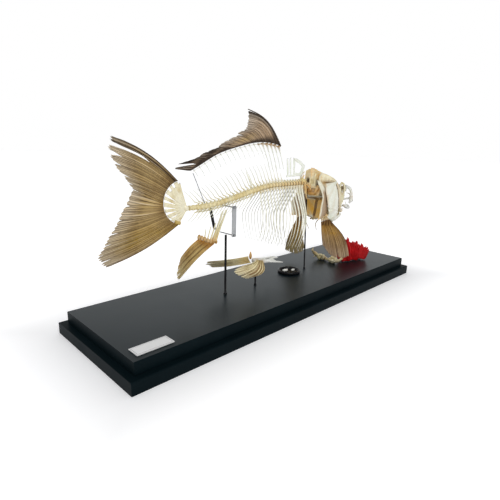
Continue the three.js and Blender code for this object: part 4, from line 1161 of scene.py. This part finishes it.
def addBraincase():
    # rings from the back wall to the snout: a squared oval, pushed out along the side
    # ridges and in at the temple, the orbit and under the brow
    t = np.linspace(0, 1, 72)[:, None]
    a = np.linspace(0, 2 * np.pi, 72, endpoint=False)[None, :]
    x = mix(skull["rear"], skull["front"], t)
    end = np.clip((1 - t) * 6, 0.35, 1) ** 0.8
    top = roofHeight(x)
    bottom = 101 + 3 * t
    up, out = np.cos(a), np.sin(a)
    square = np.maximum(np.abs(up), np.abs(out)) ** 0.6
    lean = np.abs(np.arctan2(out, up))
    push = 1.1 * bell(lean - 0.95, 0.16) * smooth((x - 74) / 8) * (1 - smooth((x - 122) / 8))
    push = push - 1.9 * bell(lean - 1.45, 0.25) * bell(x - 92, 13)
    push = push + 0.8 * bell(lean - 0.4, 0.12) * (1 - smooth((x - 128) / 10))
    push = push - 0.5 * bell(lean, 0.14) * (1 - smooth((x - 120) / 10))
    push = push + 2.2 * bell(lean - 1.2, 0.4) * bell(x - 141, 2.6)
    push = push + 1.3 * bell(x - 74.5, 1.6) * (0.5 + 0.5 * np.cos(3 * a))
    eye = bell(x - skull["orbit"][0] + 1, 9.0) * bell(lean - 1.5, 1.0)
    push = push - 3.4 * eye
    y = -(skullHalfWidth(x) * end + push) * out / square
    height = (top + bottom) / 2 + ((top - bottom) / 2 + push * 0.8) * up / square
    # warm tone, with the orbit and the groove above the gill cover warmed to brown their painted shade
    warm = 0.02 + 1.2 * eye + 1.1 * bell(lean - 1.45, 0.14) * bell(x - 92, 12) + 0.4 * bell(x - 74, 3)
    warm = warm + 0.25 * bell(lean - 1.12, 0.05) * bell(x - 100, 16)
    # painted shade: the groove above the gill cover and the orbit's hollow go dark, with faint dark lines across the
    # roof
    riftShade = 0.9 * bell(lean - 1.42, 0.1) * bell(x - 96, 13) + 0.85 * smooth(eye * 3) + 0.12 * bell(np.sin(lean * 16 + x * 0.1), 0.3)
    body = stack(x, y, height)
    # the back wall shrinks to its middle, with deep pits each side and a slit below them; their darkness is painted
    # shade
    q = np.array([0.97, 0.92, 0.85, 0.77, 0.69, 0.61, 0.53, 0.45, 0.37, 0.28, 0.18, 0.08])
    centre = np.array([0, 118.0])
    wallY = mix(0, y[0], q[:, None])
    wallH = mix(centre[1], height[0], q[:, None])
    deep = 3.6 * sum(
        np.exp(-((wallY - p[0]) / p[2]) ** 4 - ((wallH - p[1]) / p[3]) ** 4) for p in skull["pits"])
    deep = deep + 2.4 * np.exp(-((wallY - 1.5) / 5.0) ** 4 - ((wallH - 111.6) / 0.9) ** 2)
    ridge = 1.4 * bell(wallY, 1.3) * smooth((wallH - 119) / 6)
    wallX = skull["rear"] - 1.6 * (1 - q[:, None] ** 2) - ridge + deep
    wall = stack(wallX, wallY, wallH)
    pale = bell(wallY + 4, 4.4) * bell(wallH - 117.5, 7.0)
    wallWarm = np.clip(0.3 - 0.9 * pale + 0.5 * bell(wallH - 109.0, 3.5) + 0.16 * np.sin(wallH * 1.3 + wallY), 0, 1)
    # painted shade: a warm, darker patch on the right side of the back wall
    cheek = bell(wallY + 10.8, 2.2) * bell(wallH - 120, 9)
    wallWarm = np.clip(wallWarm + 0.8 * cheek, 0, 1)
    shade = np.clip(deep / 2.2 + 0.3 * cheek, 0, 0.86)
    rings = np.vstack([wall[::-1], body])
    marks = {
        "warm": np.clip(np.vstack([wallWarm[::-1], warm]), 0, 1),
        "hole": np.clip(np.vstack([shade[::-1], riftShade]), 0, 1)}
    shells = [closedTube(rings, **marks)]
    crest = between(
        [(71.2, 0, 123), (69.4, 0, 131), (70.4, 0, 138.4)],
        [(94, 0, 126), (88, 0, 131), (78, 0, 137.2)], 12, 18, 0.0, 0.18, 1.9, warm=0.55)
    shells.append(crest)
    v = np.linspace(0, 1, 12)[:, None]
    neck = stack(mix(66.2, 76, v[:, 0]), 0, mix(116.4, 113.0, v[:, 0]))
    shells.append(tube(neck, mix(2.4, 1.6, smooth(v[:, 0] * 2)) + 0.3 * np.cos(v[:, 0] * 9), 18, warm=0.5))
    # the chewing pad below: a flattened oval with a rim, on two struts
    turn = np.linspace(0, 2 * np.pi, 40, endpoint=False)[None, :]
    rim = np.array([0.1, 0.5, 0.85, 1.0, 1.0, 0.9, 0.72, 0.45, 0.12])[:, None]
    rise = np.array([3.4, 3.3, 3.0, 2.0, 0.6, -0.4, 0.2, 0.5, 0.6])[:, None]
    pad = stack(
        76 + 9.5 * rim * np.cos(turn), 8.6 * rim * np.sin(turn), 105.8 - 0.95 * rise + 0 * turn)
    # painted shade: the hole mark darkens the pad a little, more round its rim and over its upper face
    shells.append(closedTube(pad, warm=1.0, hole=0.12 + 0.3 * bell(rise - 1.3, 0.9) + 0 * turn))
    for side in (1, -1):
        strut = mirrored(spline([(73, 11.4, 115.5), (71.4, 9.6, 110.5), (73, 6.4, 105.6)], 14), side)
        shells.append(tube(strut, mix(2.0, 1.3, v[:, 0].mean()) + 0 * strut[:, 0], 10, 1.2, (1, 0, 0), warm=0.7))
        brow = mirrored(spline([(74, 14, 127.5), (71.6, 14.2, 124), (70.8, 15, 119.6), (72.6, 14, 114.6)], 18), side)
        shells.append(tube(brow, 1.0, 8, 1.3, (1, 0, 0), warm=0.5))
        reach = 0.9 if side > 0 else 6.2
        inner = mirrored(spline([(71.6, reach + 0.6, 131), (71, reach, 125.4), (70.8, reach, 120), (71.2, reach, 114)], 16), side)
        shells.append(tube(inner, 0.9, 8, 1.2, (1, 0, 0), warm=0.0))
    shelf = spline([(71.6, -11.6, 113.2), (69.9, -6, 113), (69.4, 0, 112.9), (69.9, 6, 113), (71.6, 11.6, 113.2)], 30)
    shells.append(tube(shelf, 0.95, 8, 0.8, (0, 0, 1), warm=0.3))
    shells.append(blob((72.2, -3.4, 114.6), (2.3, 4.8, 3.2)))
    piece("braincase", shells, ["braincase"], paints["skull"])


def headPlate(rear, front, side, form):
    # a bone on the head's side between its rear and front edges, from low to high: low
    # ridges fan out from one corner and faint growth rings cross them
    rows, cols = form.get("grid", (26, 36))
    u = spread(rows)[:, None]
    v = spread(cols)[None, :]
    swing = form.get("bulge", 0.0) * np.sin(np.pi * v)
    dip = form.get("dip", 0.0) * np.sin(np.pi * u)
    x = mix(mix(rear[0][0], rear[1][0], v) - swing, mix(front[0][0], front[1][0], v), u)
    height = mix(mix(rear[0][1], rear[1][1], v), mix(front[0][1], front[1][1], v), u) + dip * (0.5 - v) * 2
    cornerU, cornerV = form.get("corner", (1.05, 1.05))
    distance = np.hypot(cornerU - u, (cornerV - v) * 1.4)
    turn = np.arctan2(cornerV - v, cornerU - u)
    relief = form.get("rays", 0.25) * np.sin(turn * 15) * smooth(distance / 0.5)
    relief = relief + 0.1 * np.sin(2 * np.pi * 7 * distance)
    y = headSide(x, height) - form.get("inset", 0.0) + relief
    middle = stack(x, side * y, height)
    warm = form.get("warm", 0.0) + 0.18 * np.clip(np.sin(turn * 15), 0, 1) + form.get("edge", 0.0) * bell(u, 0.07)
    warm = warm + 0 * x
    if side > 0:
        middle = middle[::-1]
        warm = warm[::-1]
    depth = np.full((rows, cols), form.get("thickness", 1.0)) * (1 + 0.5 * bell(1 - u[:, :1], 0.12))
    return slab(middle, depth, 0.06, form.get("lining", 0.7), warm=np.clip(warm, 0, 1))


def addGillCover(side, name):
    opercle = headPlate(
        [[84.6, 85.2], [76.6, 118.6]], [[115.6, 78.4], [101.6, 119.4]], side,
        {"bulge": 3.4, "edge": 0.5, "rays": 0.3, "lining": 0.85})
    arm = mirrored(spline([(101, 18.6, 117.5), (103.6, 18.6, 120), (104.6, 17.8, 121.2)], 10), side)
    piece("opercle" + name.title(), [opercle, tube(arm, mix(1.6, 0.7, np.linspace(0, 1, 10)), 8)],
          ["opercle_" + name], paints["cover"])
    subopercle = headPlate(
        [[88.6, 71.4], [84.2, 84.5]], [[116, 65], [116, 77.6]], side,
        {"rays": 0.6, "corner": (1.3, 1.4), "lining": 0.8, "dip": -2.4, "grid": (36, 24)})
    piece("subopercle" + name.title(), [subopercle], ["subopercle_" + name], paints["cover"])
    interopercle = headPlate(
        [[117.2, 65.2], [117.2, 72.0]], [[133, 69.0], [133.6, 73.2]], side,
        {"rays": 0.2, "lining": 0.6, "grid": (20, 12)})
    piece("interopercle" + name.title(), [interopercle], ["interopercle_" + name], paints["cover"])
    # the preopercle bends forwards: its middle line and a canal ridge along it
    v = spread(40)[None, :]
    u = spread(14)[:, None]
    turn = smooth((v - 0.45) / 0.35)
    lineX = mix(mix(105.6, 120.4, v / 0.6), mix(102, 138, v), turn)
    lineH = mix(119, 77, smooth(v / 0.8))
    across = (u - 0.5) * mix(6.4, 5, v)
    x = lineX + across * (1 - 0.75 * turn)
    height = lineH + across * turn
    canal = 0.9 * bell(u - 0.3, 0.12)
    pores = 0.5 * bell(np.sin(v * np.pi * 7), 0.3) * bell(u - 0.3, 0.1)
    middle = stack(x, side * (headSide(x, height) + canal * 0.4 - pores * 0.4), height)
    warm = 0.05 + 0.4 * bell(u - 0.02, 0.1) + 0 * v
    if side > 0:
        middle, warm = middle[::-1], warm[::-1]
        canal, pores = canal[::-1], pores[::-1]
    piece("preopercle" + name.title(), [slab(middle, 1.0 + canal - pores, 0.08, 0.5, warm=np.clip(warm, 0, 1))],
          ["preopercle_" + name], paints["cover"])


def addJawArch(side, name):
    # a stout upright bar behind, thin plates in front of it, and a joint knob below
    form = {"inset": 2.6, "warm": 0.1, "lining": 0.9, "rays": 0.2, "grid": (16, 30)}
    upright = headPlate([[112, 83], [97, 117]], [[117, 83.6], [105.5, 115.5]], side, form)
    upper = headPlate([[112, 97.5], [106.4, 113.6]], [[121, 96.5], [118, 106]], side, {**form, "inset": 3.0, "grid": (12, 20)})
    lower = headPlate([[116.6, 80.8], [114.6, 94.8]], [[133, 82], [124.6, 95]], side, {**form, "inset": 2.9, "grid": (18, 20)})
    knob = mirrored(np.array([[132.2, 0, 82.4], [134.2, 0, 82.0], [135.6, 0, 81.6]]), side)
    knob[:, 1] = side * (headSide(knob[:, 0], knob[:, 2]) - 2.8)
    ridge = mirrored(spline([(98, 0, 116), (106, 0, 100), (113.6, 0, 84)], 20), side)
    ridge[:, 1] = side * (headSide(ridge[:, 0], ridge[:, 2]) - 1.9)
    shells = [
        upright, upper, lower, tube(knob, [1.2, 1.7, 1.0], 10),
        tube(ridge, mix(1.3, 0.7, np.linspace(0, 1, 20)), 8, warm=0.4)]
    piece("jawArch" + name.title(), shells, ["jaw_arch_" + name], paints["amber"])


def addCheek(side, name):
    # five thin bones in a ring round the orbit, and the brow and snout bones past them:
    # each runs from the orbit's rim out to the cheek's outline, by angle
    orbitX, orbitH = skull["orbit"]
    outline = {
        "angle": np.radians([-200, -150, -120, -95, -60, -30, 0, 30, 60, 100, 135, 160]),
        "reach": np.array([13.0, 14.5, 22, 24, 20, 14, 16.5, 13, 9.4, 9.6, 10.6, 13.6]),
    }
    shells = []
    edges = [(-197, -150), (-148, -112), (-110, -78), (-76, -38), (-36, 2), (4, 48), (50, 100), (102, 160)]
    for first, last in edges:
        angle = np.radians(mix(first, last, spread(14)))[:, None]
        reach = np.interp(angle, outline["angle"], outline["reach"])
        v = spread(18)[None, :]
        radius = mix(6.4 + 0 * reach, reach, v)
        x = orbitX + radius * np.cos(angle)
        height = orbitH + radius * np.sin(angle)
        rim = 0.6 * bell(v, 0.12)
        y = headSide(x, height) + rim - 0.12 * np.sin(9 * angle + 6 * v)
        middle = stack(x, side * y, height)
        warm = 0.04 + 0.6 * bell(v, 0.13) + 0 * angle
        if side < 0:
            middle, warm = middle[::-1], warm[::-1]
        shells.append(slab(middle, np.full((14, 18), 0.9), 0.08, 0.5, warm=warm))
    piece("cheek" + name.title(), shells, ["cheek_" + name], paints["pale"])


def addJaws():
    v = np.linspace(0, 1, 40)
    bow = spline([(157, 9, 86), (167, 7, 88.5), (173.5, 0, 90.5), (167, -7, 88.5), (157, -9, 86)], 40)
    size = 1.3 + 0.6 * bell(v - 0.5, 0.16) + 0.35 * bell(v, 0.08) + 0.35 * bell(v - 1, 0.08)
    # painted shade: three dark blotches on the bow, at its front tip and towards each end
    shadeSpots = 0.8 * bell(v - 0.5, 0.06) + 0.8 * bell(v - 0.86, 0.05) + 0.5 * bell(v - 0.14, 0.05)
    shells = [tube(bow, size, 10, 1.1, (0, 0, 1), hole=shadeSpots[:, None])]
    stem = spline([(173, 0, 90.5), (175.4, 0, 98), (170, 0, 105.5), (157, 0, 109.5)], 26)
    shells.append(tube(stem, mix(1.6, 1.7, np.linspace(0, 1, 26)), 10, 1.3))
    for side in (1, -1):
        w = np.linspace(0, 1, 24)
        strut = mirrored(spline([(158, 1, 109.2), (161, 6.6, 103), (160, 9, 94), (158, 8.9, 86.6)], 24), side)
        shells.append(tube(strut, 1.2 + 0.9 * bell(w - 0.75, 0.2), 9, 1.5, (1, 0, 0), warm=0.3 * bell(w - 0.6, 0.2)[:, None]))
        hook = mirrored(spline([(160, 9, 96), (152, 9.6, 100), (145.5, 10, 101)], 16), side)
        shells.append(tube(hook, mix(1.2, 0.7, np.linspace(0, 1, 16)), 8, 1.5, (0, 0, 1), warm=0.15))
        snout = mirrored(spline([(157, 1.5, 110), (151, 5.5, 107.5), (146, 8, 103.5)], 14), side)
        shells.append(tube(snout, mix(1.3, 0.8, np.linspace(0, 1, 14)), 8, 1.3, (0, 1, 0.2)))
    piece("upperJaw", shells, ["upper_jaw"], paints["white"])
    low = [(138, 11, 84), (150, 9.5, 79), (160, 6, 79), (165, 0, 80.5)]
    line = spline(low + [(x, -y, h) for x, y, h in low[-2::-1]], 60)
    w = np.linspace(-1, 1, 60)
    deep = 1.5 + 0.9 * bell(np.abs(w) - 0.55, 0.18)
    tone = 0.6 * bell(w, 0.06) + 0.3 * bell(np.abs(w) - 1, 0.1)
    shells = [tube(line, 1.15 + 0.35 * np.abs(w), 10, deep, (0, 0, 1), warm=tone[:, None])]
    for side in (1, -1):
        rise = mirrored(spline([(147.4, 10, 80), (146, 10.2, 84.5), (144.2, 9.8, 88.4)], 14), side)
        shells.append(tube(rise, mix(2.2, 0.7, np.linspace(0, 1, 14)), 9, 0.5, (1, 0, 0)))
    piece("lowerJaw", shells, ["lower_jaw"], paints["white"])


def addHyoid():
    # tongue bars with three flat throat rays each, and a keel plate between them
    shells = [between(
        [(147, 0, 77.4), (120, 0, 76), (100.6, 0, 73)],
        [(147, 0, 74.2), (122, 0, 69), (100.6, 0, 67)], 10, 26, 0.0, 0.12, 1.3)]
    for side in (1, -1):
        bar = mirrored(spline([(147, 0.6, 76), (132, 6, 74), (118, 9.5, 76)], 24), side)
        shells.append(tube(bar, 1.5 + 0.4 * np.cos(np.linspace(0, 9, 24)), 10, 1.5, (0, 0, 1), warm=0.2))
        for start, drop in ((117, 65.6), (123, 64), (130, 63.6)):
            w = np.linspace(0, 1, 22)
            ray = mirrored(spline([(start, 8.6, 74.5), (start - 9, 11.5, 68.5), (start - 24, 13.5, drop)], 22), side)
            shells.append(tube(ray, mix(1.15, 0.5, w), 8, 2.2, (0, 1, -0.4), warm=0.1))
    piece("hyoidArch", shells, ["hyoid_arch"], paints["pale"])


girdle = {
    "rear": 62.0,
    "bottom": 72.6,
    "top": 123.0,
    "inset": 2.6,
    "flareRear": 4.4,  # how far the rear edge stands out, and the front edge in
    "flareFront": -2.6,
    "innerGap": 2.4,
}


def limbSide(x, height, v):
    # the head's side less an inset, turned out towards the rear in the lower half
    flare = mix(girdle["flareRear"], girdle["flareFront"], (x - girdle["rear"]) / 26)
    return headSide(x, height) - girdle["inset"] + flare * (1 - smooth((v - 0.5) / 0.4))


def addShoulder(side, name, splintEnd):
    # the outer limb: a broad plate below that narrows upwards, with a thick front rim
    v = spread(46)[None, :]
    u = spread(34)[:, None]
    height = mix(girdle["bottom"], girdle["top"], v)
    rear = girdle["rear"] + 3 * v + 5.4 * np.sin(np.pi * smooth((v - 0.3) / 0.7))
    front = np.where(v < 0.42, 92 - 12 * v, mix(87, 70.5, (v - 0.42) / 0.58))
    x = mix(rear, front, u) + 0.5 * np.sin(14 * v) * bell(u, 0.2)
    rim = 0.9 * bell(u - 0.9, 0.1) + 0.25 * bell(u - 0.03, 0.05)
    growth = 0.12 * np.sin(34 * u + 5 * v)
    middle = stack(x, side * (limbSide(x, height, v) + growth), height)
    warm = np.clip(0.02 + 0.4 * bell(v, 0.1) + 0.5 * bell(u, 0.05) * (1 - v) + 0 * u, 0, 1)
    blush = np.clip(1.6 * smooth((u - 0.14) / 0.12) * smooth((0.8 - v) / 0.15), 0, 1.5)
    # the inner plate, turned to the midline; it thins to a pale rim at its top and bottom
    inV = spread(28)[None, :]
    inU = spread(26)[:, None]
    inH = mix(71, 96.4, inV)
    outer = limbSide(87, inH, 0)
    near = mix(6.0 if side > 0 else -1.6, girdle["innerGap"] - 0.4, inV)
    inner = stack(
        87 + inU + 1.1 * np.sin(np.pi * inV) * np.sin(np.pi * inU), side * mix(outer, near, inU),
        inH - 1.5 * inU)
    innerWarm = 0.9 - 0.8 * bell(inV, 0.12) - 0.7 * bell(1 - inV, 0.05) + 0.25 * np.sin(inV * 9 + inU * 5)
    innerWarm = np.clip(innerWarm, 0, 1)
    if side > 0:
        middle, warm, blush, rim = middle[::-1], warm[::-1], blush[::-1], rim[::-1]
    shells = [
        slab(middle, 0.9 + rim + 0 * x, 0.06, 0.0, warm=warm, blush=blush),
        slab(inner, np.full(inner.shape[:2], 1.0), 0.06, 0.9, warm=innerWarm)]
    topH = (98.3, 98.6, 98.9) if side > 0 else (100.6, 99.8, 99.0)
    top = mirrored(spline([(86, 17.6, topH[0]), (86.4, 7, topH[1]), (87, 0.6, topH[2])], 24), side)
    shells.append(tube(top, 1.3, 10, 1.25, (0, 0, 1), warm=0.0))
    w = np.linspace(0, 1, 22)
    foot = mirrored(spline([(85, 17.5, 76), (92, 13, 70), (102, 7, 67.4), (110, 3.2, 68)], 22), side)
    shells.append(tube(foot, mix(2.3, 1.1, w), 10, 1.4, (0, 0, 1), warm=0.5))
    # the fin's carriers: short hourglass bones side by side under the plate
    for index, place in enumerate((73.5, 77.5, 81.5, 85.0)):
        wide = np.array([1.7, 1.5, 1.15, 1.05, 1.2, 1.6, 1.9, 1.6])
        reach = mirrored(spline([(place - 0.4, 18.6, 75), (place, 20.0, 72.8), (place + 0.3, 21 + 0.3 * index, 70.2)], 8), side)
        # painted shade: the hole mark darkens the carriers under the plate
        shells.append(tube(reach, wide, 9, 0.8, (0, 1, 0), warm=0.5, hole=0.3))
    link = mirrored(spline([(69.4, 15.4, 120.5), (69.6, 15.4, 127), (75, 14.4, 132)], 16), side)
    shells.append(tube(link, mix(1.8, 1.0, np.linspace(0, 1, 16)), 9, 0.8, (1, 0, 0), warm=0.1))
    splint = mirrored(spline([(84, 17.4, 78), (77, 9, 66), (77, splintEnd, 55)], 22), side)
    # painted shade: the hole mark darkens the splint behind the plate
    shells.append(tube(splint, mix(0.8, 0.3, w), 7, 1.2, warm=0.3, hole=0.55))
    piece("cleithrum" + name.title(), shells, ["cleithrum_" + name], paints["shoulder"])


addBraincase()
for flank, title in ((1, "left"), (-1, "right")):
    addGillCover(flank, title)
    addJawArch(flank, title)
    addCheek(flank, title)
    addShoulder(flank, title, 2.5 if flank > 0 else 10)
addJaws()
addHyoid()
print("head made")


# loose specimens


throat = {"radius": 11.0, "toothRing": 8.4}


def throatBone(centreX, centreY, turn, hook):
    # a sickle: an arc that swells in the middle and climbs at one end, with a pierced
    # blade outside it, three crowned teeth inside and a spur on its back
    v = np.linspace(0, 1, 48)
    angle = turn + mix(-1.4, 1.4, v)
    lift = 2.9 + hook * np.clip(v - 0.5, 0, 1) + 0.5 * np.sin(7 * v)
    bend = throat["radius"] + 1.2 * np.sin(3 * np.pi * v)
    arc = stack(centreX + bend * np.cos(angle), centreY + bend * np.sin(angle), lift)
    size = 1.2 + 2.1 * np.sin(np.pi * v) ** 1.3 + 0.3 * np.sin(26 * v)
    dents = bell(np.sin(v * 14), 0.35) * bell(v - 0.5, 0.3)
    # painted shade: the hole mark darkens the dents along the arc
    shells = [tube(
        arc, size - 0.4 * dents, 14, 1.15, (0, 0, 1),
        warm=(0.3 + 0.3 * np.sin(9 * v))[:, None], hole=(0.8 * dents)[:, None])]
    w = np.linspace(0, 1, 24)
    bar = turn + mix(-0.9, 0.9, w)
    wing = stack(
        centreX + (throat["radius"] + 1.6 + 2.4 * np.sin(np.pi * w)) * np.cos(bar),
        centreY + (throat["radius"] + 1.6 + 2.4 * np.sin(np.pi * w)) * np.sin(bar),
        3.4 + 1.6 * np.sin(np.pi * w))
    shells.append(tube(wing, 0.55 + 0.5 * np.sin(np.pi * w), 9, 0.9, (0, 0, 1), warm=0.1))
    for place in (-0.45, 0.0, 0.45):
        spot = turn + place
        inner = throat["radius"] + 0.6
        outer = throat["radius"] + 3.4
        rod = mix(
            np.array([centreX + inner * math.cos(spot), centreY + inner * math.sin(spot), 3.2]),
            np.array([centreX + outer * math.cos(spot), centreY + outer * math.sin(spot), 4.4]),
            np.linspace(0, 1, 6)[:, None])
        shells.append(tube(rod, 0.6, 8, 1.2, (0, 0, 1), warm=0.3))
    spur = spline([arc[40] + [0, 0, 0.4], arc[43] + [0, 0, 1.6], arc[45] + [0.6, 0, 3.0], arc[46] + [1.8, 0, 3.6]], 10)
    shells.append(tube(spur, np.linspace(1.1, 0.45, 10), 8, warm=0.1))
    for place, size in ((-0.62, 2.0), (-0.08, 2.7), (0.42, 2.1)):
        spot = turn + place
        x = centreX + throat["toothRing"] * math.cos(spot)
        y = centreY + throat["toothRing"] * math.sin(spot)
        ring = np.array([0.45, 0.62, 0.8, 0.98, 1.0, 0.86, 0.55, 0.2])[:, None]
        rise = np.array([2.4, 3.6, 5.0, 6.6, 7.8, 8.6, 8.4, 8.1])[:, None] + 0.4 * (size - 2)
        around = np.linspace(0, 2 * np.pi, 20, endpoint=False)[None, :]
        crown = 1 + 0.07 * np.cos(5 * around)
        shells.append(closedTube(stack(
            x + size * ring * crown * np.cos(around), y + size * ring * crown * np.sin(around),
            rise + 0 * around), warm=0.05 + 0.5 * bell(rise - 7.1, 0.3) + 0 * around))
    return shells


def addThroatBones():
    piece("throatBoneLeft", throatBone(115, 9, 0.4, 24), ["throat_bone_left"], paints["throat"])
    piece("throatBoneRight", throatBone(132, -12.5, 2.9, 10), ["throat_bone_right"], paints["throat"])


def addGills():
    # three leaning leaves on a bar: each is two rows of pointed filaments
    dice = np.random.default_rng(5)
    bar = spline([(138, -17, 2.8), (156, -21, 2.9), (175, -25, 2.8)], 40)
    shells = [tube(bar, 2.4 + 0.3 * np.cos(np.linspace(0, 40, 40)), 12, 1.0, (0, 0, 1))]
    for leaf in range(3):
        share = leaf / 2
        footX = mix(142.5, 168, share)
        tall = mix(41, 27, share)
        lean = mix(-6, 7, share)
        for row in range(2):
            for i in range(12):
                u = (i + 0.5) / 12 + dice.uniform(-0.02, 0.02)
                tooth = abs(math.sin(u * math.pi * 3))
                v = np.linspace(0, 1, 16)
                top = tall * (0.8 + 0.2 * tooth) * (1 - 0.35 * u) * dice.uniform(0.93, 1.03)
                spanY = -15.5 - 9 * share + 20 * (0.5 - u) * (0.7 + 0.5 * v)
                offset = (row - 0.5) * mix(3.6, 1.2, v)
                curl = dice.uniform(-0.8, 0.8) * v ** 2
                path = stack(footX + lean * v + 5 * u + offset, spanY + curl, 1.8 + top * v)
                full = mix(2.2, 1.5, smooth((v - 0.3) / 0.5)) * (1.001 - v ** 5) ** 0.5 + 0.1
                shells.append(tube(path, full * (1 + 0.07 * np.sin(v * 60)), 7, 0.8, (0, 1, 0)))
    piece("gillArches", shells, ["gill_arches"], paints["gill"])


def addDish():
    # the dish is a turned ring; the ear bones are lobed pebbles with a notched rim
    centre = (39.0, 3.0)
    profile = np.array([
        (0.2, 0.3), (14.4, 0.3), (15, 0.7), (15, 2.4), (14.6, 3.3), (13.8, 3.8), (12.8, 3.6),
        (12.1, 2.8), (12, 1.5), (11.4, 1.25), (0.2, 1.2)])
    a = np.linspace(0, 2 * np.pi, 72, endpoint=False)[None, :]
    rings = stack(
        centre[0] + profile[:, :1] * np.cos(a), centre[1] + profile[:, :1] * np.sin(a),
        profile[:, 1:] + 0 * a)
    piece("specimenDish", [closedTube(rings[:, ::-1])], ["specimen_dish"], paints["dish"])
    for name, x, y, size in (("earBoneLarge", -4.5, 2.6, 4.4), ("earBoneSmall", 4.5, -3.4, 2.8)):
        tilt = np.linspace(0.08, np.pi - 0.08, 15)[:, None]
        form = size * (1 + 0.1 * np.cos(3 * a) + 0.06 * np.cos(11 * a))
        dome = closedTube(stack(
            centre[0] + x + form * np.sin(tilt) * np.cos(a),
            centre[1] + y + 0.62 * form * np.sin(tilt) * np.sin(a),
            3.2 - 1.5 * np.cos(tilt) + 0.3 * np.sin(tilt) * np.cos(6 * a)), warm=0.0)
        node = "ear_bone_large" if size > 3 else "ear_bone_small"
        piece(name, [dome], [node], paints["white"])


addThroatBones()
addGills()
addDish()
print("specimens made")
